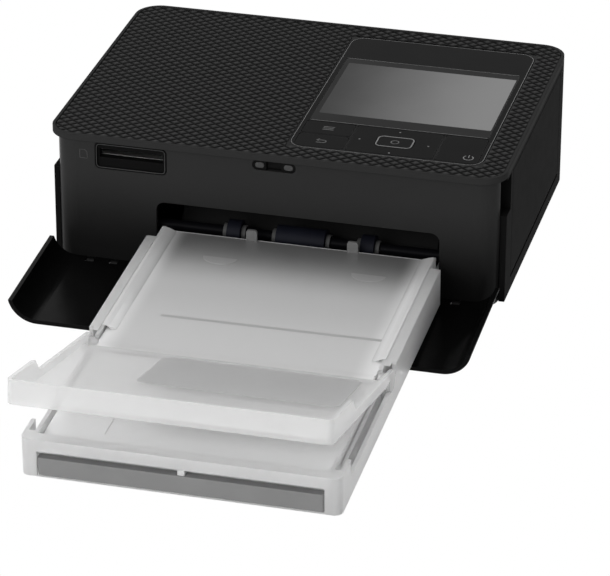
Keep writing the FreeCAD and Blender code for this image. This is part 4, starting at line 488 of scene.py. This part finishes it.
def dress_cad():
    for entry in frame["record"]["subparts"]:
        name = entry["node"]
        dress(nodes[name], SPECIAL.get(name, MATERIALS[entry["material_slot"]]))


# Outlines

def rounded_outline(x0, x1, y0, y1, radius, steps=5):
    """Points of a rounded rectangle, anticlockwise."""
    points = []
    for x, y, start in ((x1 - radius, y1 - radius, 0), (x0 + radius, y1 - radius, 1),
                        (x0 + radius, y0 + radius, 2), (x1 - radius, y0 + radius, 3)):
        for step in range(steps + 1):
            angle = (start + step / steps) * math.pi / 2
            points.append((x + radius * math.cos(angle), y + radius * math.sin(angle)))
    return points


def inset_outline(low, high, inset, radius, up=1):
    """A rounded rectangle inside a box, seen from above, or from the front with up=2."""
    return rounded_outline(low.x + inset, high.x - inset, low[up] + inset, high[up] - inset, radius)


def arc_points(x, y, radius, start, end, steps):
    angles = [math.radians(start + (end - start) * step / steps) for step in range(steps + 1)]
    return [(x + radius * math.cos(angle), y + radius * math.sin(angle)) for angle in angles]


def from_point(points, x=0.0, y=0.0):
    """Points given in millimetres from a place, in metres."""
    return [(x + px * MM, y + py * MM) for px, py in points]


# Pieces that the scene adds

def add_piece(name, mesh, body, mat):
    item = bpy.data.objects.new(name, mesh)
    bpy.context.scene.collection.objects.link(item)
    dress(item, mat)
    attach(item, body)


def add_solid(name, points, faces, seat, mat):
    """A closed mesh from points in its seat's frame, with its faces outwards."""
    turn, body, slot = seat
    mesh = bpy.data.meshes.new(name)
    shape = bmesh.new()
    corners = [shape.verts.new(turn @ Vector(point)) for point in points]
    for face in faces:
        shape.faces.new([corners[index] for index in face])
    bmesh.ops.recalc_face_normals(shape, faces=shape.faces)
    shape.to_mesh(mesh)
    shape.free()
    add_piece(name, mesh, body, mat)


def ring_faces(rings, count, closed=False):
    """Quads between rings of points; closed joins the last ring to the first."""
    faces = []
    for ring in range(rings if closed else rings - 1):
        a, b = ring * count, (ring + 1) % rings * count
        for step in range(count):
            after = (step + 1) % count
            faces.append((a + step, a + after, b + after, b + step))
    return faces


def at_level(outline, level):
    return [(x, y, level) for x, y in outline]


def shrunk(outline, amount):
    """An outline drawn in towards the mean of its points."""
    middle = Vector([sum(axis) / len(outline) for axis in zip(*outline)])
    ring = []
    for point in outline:
        away = (Vector(point) - middle).normalized() * amount
        ring.append((point[0] - away.x, point[1] - away.y))
    return ring


def add_plate(name, outline, low, high, seat, mat, break_edge=0.0):
    """A thin plate over an outline; low and high are its levels."""
    inset = min(break_edge, (high - low) / 2)
    points = (at_level(outline, low) + at_level(outline, high - inset)
              + at_level(shrunk(outline, inset), high))
    count = len(outline)
    faces = ring_faces(3, count) + [tuple(reversed(range(count))), tuple(range(count * 2, count * 3))]
    add_solid(name, points, faces, seat, mat)


def add_loop(name, outer, inner, low, high, seat, mat):
    """A flat ring between two outlines with the same count of points."""
    points = at_level(outer, low) + at_level(outer, high) + at_level(inner, high) + at_level(inner, low)
    add_solid(name, points, ring_faces(4, len(outer), closed=True), seat, mat)


def add_strokes(name, strokes, width, low, high, seat, mat):
    """Flat marks drawn with strokes, each a list of points, as one raised mesh."""
    points, faces = [], []
    for stroke in strokes:
        start = len(points)
        last = len(stroke) - 1
        for index, (x, y) in enumerate(stroke):
            along = Vector(stroke[min(index + 1, last)]) - Vector(stroke[max(index - 1, 0)])
            along.normalize()
            side = Vector((-along.y, along.x)) * width / 2
            for sign in (-1, 1):
                for level in (low, high):
                    points.append((x + side.x * sign, y + side.y * sign, level))
        for index in range(last):
            a, b = start + index * 4, start + index * 4 + 4
            faces += [(a + 1, b + 1, b + 3, a + 3), (a, a + 2, b + 2, b), (a, b, b + 1, a + 1),
                      (a + 2, a + 3, b + 3, b + 2)]
        a, b = start, start + last * 4
        faces += [(a, a + 1, a + 3, a + 2), (b, b + 2, b + 3, b + 1)]
    add_solid(name, points, faces, seat, mat)


# Patterned top

PATTERN_PITCH = (5.24 * MM, 4.27 * MM)
PATTERN_EDGE = 0.25 * MM
PANEL_MARGIN = 1.5 * MM
TOP_ROUND = 9 * MM
CORNER_SHARES = (0.25, 0.5, 0.75)
WELD_REACH = 0.002 * MM


def pattern_region(shape, x0, x1, y0, y1, cuts):
    """Rows of small pyramids over a rectangle, trimmed at its sides and at further planes."""
    region = bmesh.new()
    step_x, step_y = PATTERN_PITCH
    base = TOP_Z + PATTERN_LIFT
    first_row = math.floor(y0 / (step_y / 2)) - 1
    last_row = math.ceil(y1 / (step_y / 2)) + 1
    for row in range(first_row, last_row + 1):
        shift = step_x / 2 if row % 2 else 0.0
        for column in range(math.floor(x0 / step_x) - 1, math.ceil(x1 / step_x) + 2):
            x, y = column * step_x + shift, row * step_y / 2
            peak = region.verts.new((x, y, base + PATTERN_RISE))
            ring = [region.verts.new(point) for point in (
                (x + step_x / 2, y, base), (x, y + step_y / 2, base),
                (x - step_x / 2, y, base), (x, y - step_y / 2, base))]
            for index in range(4):
                region.faces.new((ring[index], ring[(index + 1) % 4], peak))
    planes = [((x0, y0, 0), (-1, 0, 0)), ((x1, y1, 0), (1, 0, 0)), ((x0, y0, 0), (0, -1, 0)),
              ((x1, y1, 0), (0, 1, 0))] + cuts
    for place, normal in planes:
        geom = region.verts[:] + region.edges[:] + region.faces[:]
        bmesh.ops.bisect_plane(region, geom=geom, plane_co=place, plane_no=normal, clear_outer=True)
    part = bpy.data.meshes.new("region")
    region.to_mesh(part)
    region.free()
    shape.from_mesh(part)
    bpy.data.meshes.remove(part)


def corner_cuts(x0, x1, y0, y1, radius):
    """Planes that trim the corners of a rectangle to about a radius."""
    cuts = []
    for x, y, turn in ((x1 - radius, y1 - radius, 0), (x0 + radius, y1 - radius, 1),
                       (x0 + radius, y0 + radius, 2), (x1 - radius, y0 + radius, 3)):
        for share in CORNER_SHARES:
            angle = (turn + share) * math.pi / 2
            away = Vector((math.cos(angle), math.sin(angle), 0))
            cuts.append((Vector((x, y, 0)) + away * radius, away))
    return cuts


def make_pattern():
    """The pattern covers the top around the control panel, in four regions."""
    edge = PATTERN_EDGE
    x0, x1, y0, y1 = top_low.x + edge, top_high.x - edge, top_low.y + edge, top_high.y - edge
    inset = PANEL_MARGIN - edge
    px0, px1 = panel_low.x + inset, panel_high.x - inset
    py0, py1 = panel_low.y + inset, panel_high.y - inset
    cuts = corner_cuts(x0, x1, y0, y1, TOP_ROUND)
    shape = bmesh.new()
    pattern_region(shape, x0, px0, y0, y1, cuts)
    pattern_region(shape, px1, x1, y0, y1, cuts)
    pattern_region(shape, px0, px1, y0, py0, [])
    pattern_region(shape, px0, px1, py1, y1, [])
    bmesh.ops.remove_doubles(shape, verts=shape.verts[:], dist=WELD_REACH)
    mesh = bpy.data.meshes.new("top_pattern")
    shape.to_mesh(mesh)
    shape.free()
    add_piece("top_pattern", mesh, "housing", PATTERN_BLACK)


# Control panel

LINE_WIDE = 0.22 * MM
MARK_HIGH = 0.05 * MM
SCREEN_HIGH = 0.03 * MM
SCREEN_LEFT = 2.0 * MM
SCREEN_RIGHT = 0.6 * MM
SCREEN_FRONT = 7.2 * MM
SCREEN_BACK = 4.6 * MM
SCREEN_ROUND = 0.5 * MM
LINE_END = 0.4 * MM
PANEL_LINE_INSET = 2.1 * MM
PANEL_LINE_WIDE = 0.25 * MM
PANEL_LINE_ROUND = 6.0 * MM
RIB_GAP = 0.14 * MM
RIB_ROUND = 0.1 * MM
RIB_DEEP = 1.5 * MM
RIB_BELOW = 0.03 * MM
RIB_BREAK = 0.06 * MM


def make_panel_marks():
    low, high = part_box("display_glass")
    screen = rounded_outline(low.x + SCREEN_LEFT, high.x - SCREEN_RIGHT, low.y + SCREEN_FRONT,
                             high.y - SCREEN_BACK, SCREEN_ROUND)
    add_plate("screen_area", screen, TOP_Z, TOP_Z + SCREEN_HIGH, ON_GLASS, make_screen_painted_reflection())
    for name, y in (("panel_line_back", high.y), ("panel_line_front", low.y)):
        line = [(low.x + LINE_END, y), (high.x - LINE_END, y)]
        add_strokes(name, [line], LINE_WIDE, TOP_Z, TOP_Z + MARK_HIGH, ON_PANEL, LINE_GREY)
    outer = inset_outline(panel_low, panel_high, PANEL_LINE_INSET, PANEL_LINE_ROUND)
    inner = inset_outline(panel_low, panel_high, PANEL_LINE_INSET + PANEL_LINE_WIDE,
                          PANEL_LINE_ROUND - PANEL_LINE_WIDE)
    add_loop("panel_edge", outer, inner, TOP_Z, TOP_Z + MARK_HIGH, ON_PANEL, LINE_GREY)


def make_key_ribs():
    """Thin ribs that close the wide gaps between the keys."""
    pad_low, pad_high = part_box("direction_pad")
    menu_low, menu_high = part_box("menu_button")
    back_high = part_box("back_button")[1]
    power_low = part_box("power_button")[0]
    ribs = {
        "left": (menu_high.x + RIB_GAP, pad_low.x - RIB_GAP, pad_low.y, pad_high.y),
        "right": (pad_high.x + RIB_GAP, power_low.x - RIB_GAP, pad_low.y, pad_high.y),
        "cross": (menu_low.x, menu_high.x, back_high.y + RIB_GAP, menu_low.y - RIB_GAP),
    }
    for name, sides in ribs.items():
        outline = rounded_outline(*sides, RIB_ROUND, 2)
        add_plate("key_rib_" + name, outline, TOP_Z - RIB_DEEP, TOP_Z - RIB_BELOW, ON_PANEL,
                  MATERIALS["panel"], RIB_BREAK)


# Marks of the keys, in millimetres from the middle of each key
MENU_BARS = [[(-2.2, y), (2.2, y)] for y in (-1.3, 0.0, 1.3)]
BACK_ARROW = [
    [(-1.8, -1.3), (0.9, -1.3)] + arc_points(0.9, -0.2, 1.1, -90, 90, 8) + [(-1.9, 0.9)],
    [(-0.9, 1.9), (-2.0, 0.9), (-0.9, -0.1)],
]
OK_CIRCLE = [arc_points(0, 0, 1.5, 0, 360, 20)]
POWER_SIGN = [arc_points(0, 0, 1.9, 125, 415, 20), [(0, 0.2), (0, 2.4)]]
PAD_DOT = arc_points(0, 0, 0.42, 0, 324, 9)
# The dots and the power sign, in millimetres from the middle of the printer's body
PAD_DOTS = {"up": (43.0, -31.9), "left": (29.0, -41.6), "right": (56.4, -41.6), "down": (43.0, -51.4)}
POWER_PLACE = (73.6, -48.0)
MENU_WIDE = 0.45 * MM
ARROW_WIDE = 0.42 * MM
CIRCLE_WIDE = 0.4 * MM
OK_RING_INSET = 0.25 * MM
OK_RING_WIDE = 0.5 * MM
OK_RING_ROUND = 2.2 * MM


def at_body(x, y):
    """A place in millimetres from the middle of the printer's body, in the frame's metres."""
    return x * MM, FRONT_Y + BODY_MIDDLE + y * MM


def key_middle(name):
    low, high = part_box(name)
    middle = (low + high) / 2
    return middle.x, middle.y


def mark_key(name, key, strokes, place, width, mat):
    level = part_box(key)[1].z
    placed = [from_point(stroke, *place) for stroke in strokes]
    add_strokes(name, placed, width, level, level + MARK_HIGH, (FLAT, key, "panel"), mat)


def make_key_marks():
    mark_key("menu_mark", "menu_button", MENU_BARS, key_middle("menu_button"), MENU_WIDE, MARK_AND_HIGHLIGHT_GREY)
    mark_key("back_mark", "back_button", BACK_ARROW, key_middle("back_button"), ARROW_WIDE, MARK_AND_HIGHLIGHT_GREY)
    low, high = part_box("ok_button")
    outer = inset_outline(low, high, OK_RING_INSET, OK_RING_ROUND)
    inner = inset_outline(low, high, OK_RING_INSET + OK_RING_WIDE, OK_RING_ROUND - OK_RING_WIDE)
    add_loop("ok_ring", outer, inner, high.z, high.z + MARK_HIGH * 2, (FLAT, "ok_button", "panel"), LINE_GREY)
    mark_key("ok_mark", "ok_button", OK_CIRCLE, key_middle("ok_button"), CIRCLE_WIDE, MARK_AND_HIGHLIGHT_GREY)
    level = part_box("direction_pad")[1].z
    for name, place in PAD_DOTS.items():
        dot = from_point(PAD_DOT, *at_body(*place))
        add_plate("pad_dot_" + name, dot, level, level + MARK_HIGH, (FLAT, "direction_pad", "panel"),
                  LINE_GREY, MARK_HIGH / 2)
    mark_key("power_mark", "power_button", POWER_SIGN, at_body(*POWER_PLACE), ARROW_WIDE, LINE_GREY)


# Front: card slot, its icon and the catch's windows

SLOT_RIM_INSET = 0.1 * MM
SLOT_RIM_WIDE = 0.35 * MM
SLOT_EDGE_WIDE = 0.3 * MM
SLOT_ROUND = 1.9 * MM
SLOT_RIM_HIGH = 0.15 * MM
SLOT_EDGE_HIGH = 0.1 * MM
CARD_PLACE = (-77.8 * MM, 47.0 * MM)
CARD_SHAPE = [(0, 0), (3.0, 0), (3.0, 2.6), (2.0, 3.6), (0, 3.6), (0, 0)]
CARD_LINE = 0.35 * MM
WINDOW_END = 1.0 * MM
WINDOW_REACH = 4.6 * MM
WINDOW_INSET = 0.9 * MM
WINDOW_ROUND = 1.0 * MM


def make_front_marks():
    low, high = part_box("card_slot_frame")
    face = -low.y
    inset = SLOT_RIM_INSET
    outer = inset_outline(low, high, inset, SLOT_ROUND, up=2)
    inset += SLOT_RIM_WIDE
    inner = inset_outline(low, high, inset, SLOT_ROUND - SLOT_EDGE_WIDE, up=2)
    inset += SLOT_EDGE_WIDE
    last = inset_outline(low, high, inset, SLOT_ROUND - SLOT_EDGE_WIDE * 2, up=2)
    add_loop("card_slot_rim", outer, inner, face, face + SLOT_RIM_HIGH, ON_FRONT, RIM_BLACK)
    # A grey ring inside the slot's dark rim, painted as the highlight on the slot's inner edge
    add_loop("card_slot_edge_highlight", inner, last, face, face + SLOT_EDGE_HIGH, ON_FRONT, MARK_AND_HIGHLIGHT_GREY)
    face = -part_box("front_shell")[0].y
    card = from_point(CARD_SHAPE, *CARD_PLACE)
    add_strokes("card_mark", [card], CARD_LINE, face, face + MARK_HIGH, ON_FRONT, MARK_AND_HIGHLIGHT_GREY)
    low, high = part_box("cover_catch")
    face = -low.y
    for name, x0, x1 in (("left", low.x + WINDOW_END, low.x + WINDOW_REACH),
                         ("right", high.x - WINDOW_REACH, high.x - WINDOW_END)):
        window = rounded_outline(x0, x1, low.z + WINDOW_INSET, high.z - WINDOW_INSET, WINDOW_ROUND)
        add_plate("catch_window_" + name, window, face, face + MARK_HIGH, ON_CATCH, MARK_AND_HIGHLIGHT_GREY, MARK_HIGH)


# Cassette and tray, in their own frames

LID_LEVEL = 13.7 * MM
LID_BACK = 0.9 * MM
MOON_PLACES = {"left": (-26.5 * MM, -16 * MM), "right": (32.5 * MM, -16 * MM)}
MOON_RADIUS = 6.8 * MM
MOON_SQUASH = 0.8
NOSE_SIDES = (-52.9 * MM, 52.9 * MM, -93.5 * MM, -90.6 * MM)
NOSE_LOW = 12.35 * MM
NOSE_ROUND = 0.6 * MM
NOSE_BREAK = 0.4 * MM
# Outlines in millimetres: half of the rails' plan, and the section of the flanges
RAIL_PLAN = [(54.6, -84.8), (57.0, -84.8), (57.05, -82.3), (58.0, -82.3), (58.6, -81.7), (58.6, -8.4),
             (58.0, -7.7), (54.6, -7.7)]
FLANGE_SECTION = [(49.0, 13.72), (51.7, 14.85), (53.2, 15.25), (54.4, 15.3), (54.4, 15.1), (53.1, 15.06),
                  (51.9, 14.62), (51.5, 14.1), (51.0, 13.72)]
RAIL_LEVELS = (14.98 * MM, 15.3 * MM)
RAIL_BREAK = 0.2 * MM
FLANGE_ENDS = (-80.4 * MM, LID_BACK)
TRAY_LEVEL = 1.2 * MM
WINDOW_SIDES = (-25.0 * MM, 50.0 * MM, -50.0 * MM, -10.0 * MM)
TRAY_WINDOW_ROUND = 4.0 * MM
INLAY_HIGH = 0.12 * MM
INLAY_BREAK = 0.1 * MM
LIP_RIBS = (-40.7 * MM, 34.2 * MM, 41.0 * MM)
LIP_RIB_HALF = 0.4 * MM
LIP_RIB_ENDS = (-93.2 * MM, -92.4 * MM)
LIP_RIB_TOP = 8.0 * MM
LIP_RIB_ROUND = 0.2 * MM
TAB_SIDES = (-0.9 * MM, 1.9 * MM, -165.6 * MM, -162.6 * MM)
TAB_LEVELS = (7.9 * MM, 10.2 * MM)
TAB_ROUND = 0.5 * MM
TAB_BREAK = 0.3 * MM
# A grey stroke across the lid, painted as the shadow of its step
STEP_LINE = [(-36.0 * MM, -65.5 * MM), (52.0 * MM, -64.5 * MM)]
STEP_WIDE = 1.6 * MM
STEP_HIGH = 0.05 * MM
# A light stroke along the lid's rear edge, painted as the highlight on that edge
EDGE_LINE = [(-50.5 * MM, LID_BACK), (50.5 * MM, LID_BACK)]
EDGE_WIDE = 0.35 * MM
EDGE_HIGH = 0.08 * MM


def make_lid_marks():
    for name, (x, y) in MOON_PLACES.items():
        half_circle = arc_points(x, y, MOON_RADIUS, 180, 360, 18)
        moon = [(px, y + (py - y) * MOON_SQUASH) for px, py in half_circle]
        add_plate("lid_moon_" + name, moon, LID_LEVEL, LID_LEVEL + INLAY_HIGH, ON_LID, LID_MARK, INLAY_BREAK)
    nose = rounded_outline(*NOSE_SIDES, NOSE_ROUND, 3)
    add_plate("lid_nose", nose, NOSE_LOW, LID_LEVEL, ON_LID, LID_PLASTIC, NOSE_BREAK)


def make_rails_and_flanges():
    count = len(FLANGE_SECTION)
    faces = ring_faces(2, count) + [tuple(range(count)), tuple(range(count, count * 2))]
    for name, side in (("left", -1), ("right", 1)):
        rail = [(side * x, y) for x, y in from_point(RAIL_PLAN)]
        add_plate("side_rail_" + name, rail, *RAIL_LEVELS, ON_BASE, MATERIALS["frosted"], RAIL_BREAK)
        ends = [(side * x, y, z) for y in FLANGE_ENDS for x, z in from_point(FLANGE_SECTION)]
        add_solid("lid_flange_" + name, ends, faces, ON_LID, LID_PLASTIC)


def make_tray_marks():
    window = rounded_outline(*WINDOW_SIDES, TRAY_WINDOW_ROUND)
    add_plate("tray_window", window, TRAY_LEVEL, TRAY_LEVEL + INLAY_HIGH, ON_TRAY, TRAY_WINDOW, INLAY_BREAK)
    for index, x in enumerate(LIP_RIBS):
        rib = rounded_outline(x - LIP_RIB_HALF, x + LIP_RIB_HALF, *LIP_RIB_ENDS, LIP_RIB_ROUND, 2)
        add_plate("lip_rib_%d" % index, rib, TRAY_LEVEL, LIP_RIB_TOP, ON_TRAY, MATERIALS["frosted"],
                  INLAY_BREAK)


def make_cassette_lines():
    tab = rounded_outline(*TAB_SIDES, TAB_ROUND, 3)
    add_plate("bar_tab", tab, *TAB_LEVELS, ON_BASE, TAB_WHITE_AND_EDGE_HIGHLIGHT, TAB_BREAK)
    add_strokes("lid_step_shadow", [STEP_LINE], STEP_WIDE, LID_LEVEL, LID_LEVEL + STEP_HIGH, ON_LID, STEP_SHADOW_GREY)
    add_strokes("lid_edge_highlight", [EDGE_LINE], EDGE_WIDE, LID_LEVEL, LID_LEVEL + EDGE_HIGH, ON_LID, TAB_WHITE_AND_EDGE_HIGHLIGHT)


# Floor

FLOOR_HALF = 6.0
FLOOR_BELOW = 0.0002


def make_floor():
    """A white floor that shows only its shadows."""
    mesh = bpy.data.meshes.new("floor")
    corners = [(x * FLOOR_HALF, y * FLOOR_HALF, 0) for x, y in ((-1, -1), (1, -1), (1, 1), (-1, 1))]
    mesh.from_pydata(corners, [], [(0, 1, 2, 3)])
    floor = bpy.data.objects.new("floor", mesh)
    floor.location.z = cad_box[0][2] - FLOOR_BELOW
    bpy.context.scene.collection.objects.link(floor)
    mat = new_material("floor_white")
    set_inputs(mat, base_color=(0.9, 0.9, 0.9, 1), roughness=0.9, specular_ior_level=0.0)
    tree = mat.node_tree
    glow = tree.nodes.new("ShaderNodeEmission")
    glow.inputs["Strength"].default_value = 1.0
    mix = tree.nodes.new("ShaderNodeMixShader")
    tree.links.new(background_rays(tree), mix.inputs["Fac"])
    tree.links.new(shader_of(mat).outputs["BSDF"], mix.inputs[1])
    tree.links.new(glow.outputs["Emission"], mix.inputs[2])
    tree.links.new(mix.outputs["Shader"], tree.nodes["Material Output"].inputs["Surface"])
    dress(floor, mat)


bpy.context.scene.view_settings.view_transform = "Standard"
make_camera()
make_world()
make_lamps()
make_floor()
dress_cad()
make_pattern()
make_panel_marks()
make_key_ribs()
make_key_marks()
make_front_marks()
make_lid_marks()
make_rails_and_flanges()
make_tray_marks()
make_cassette_lines()
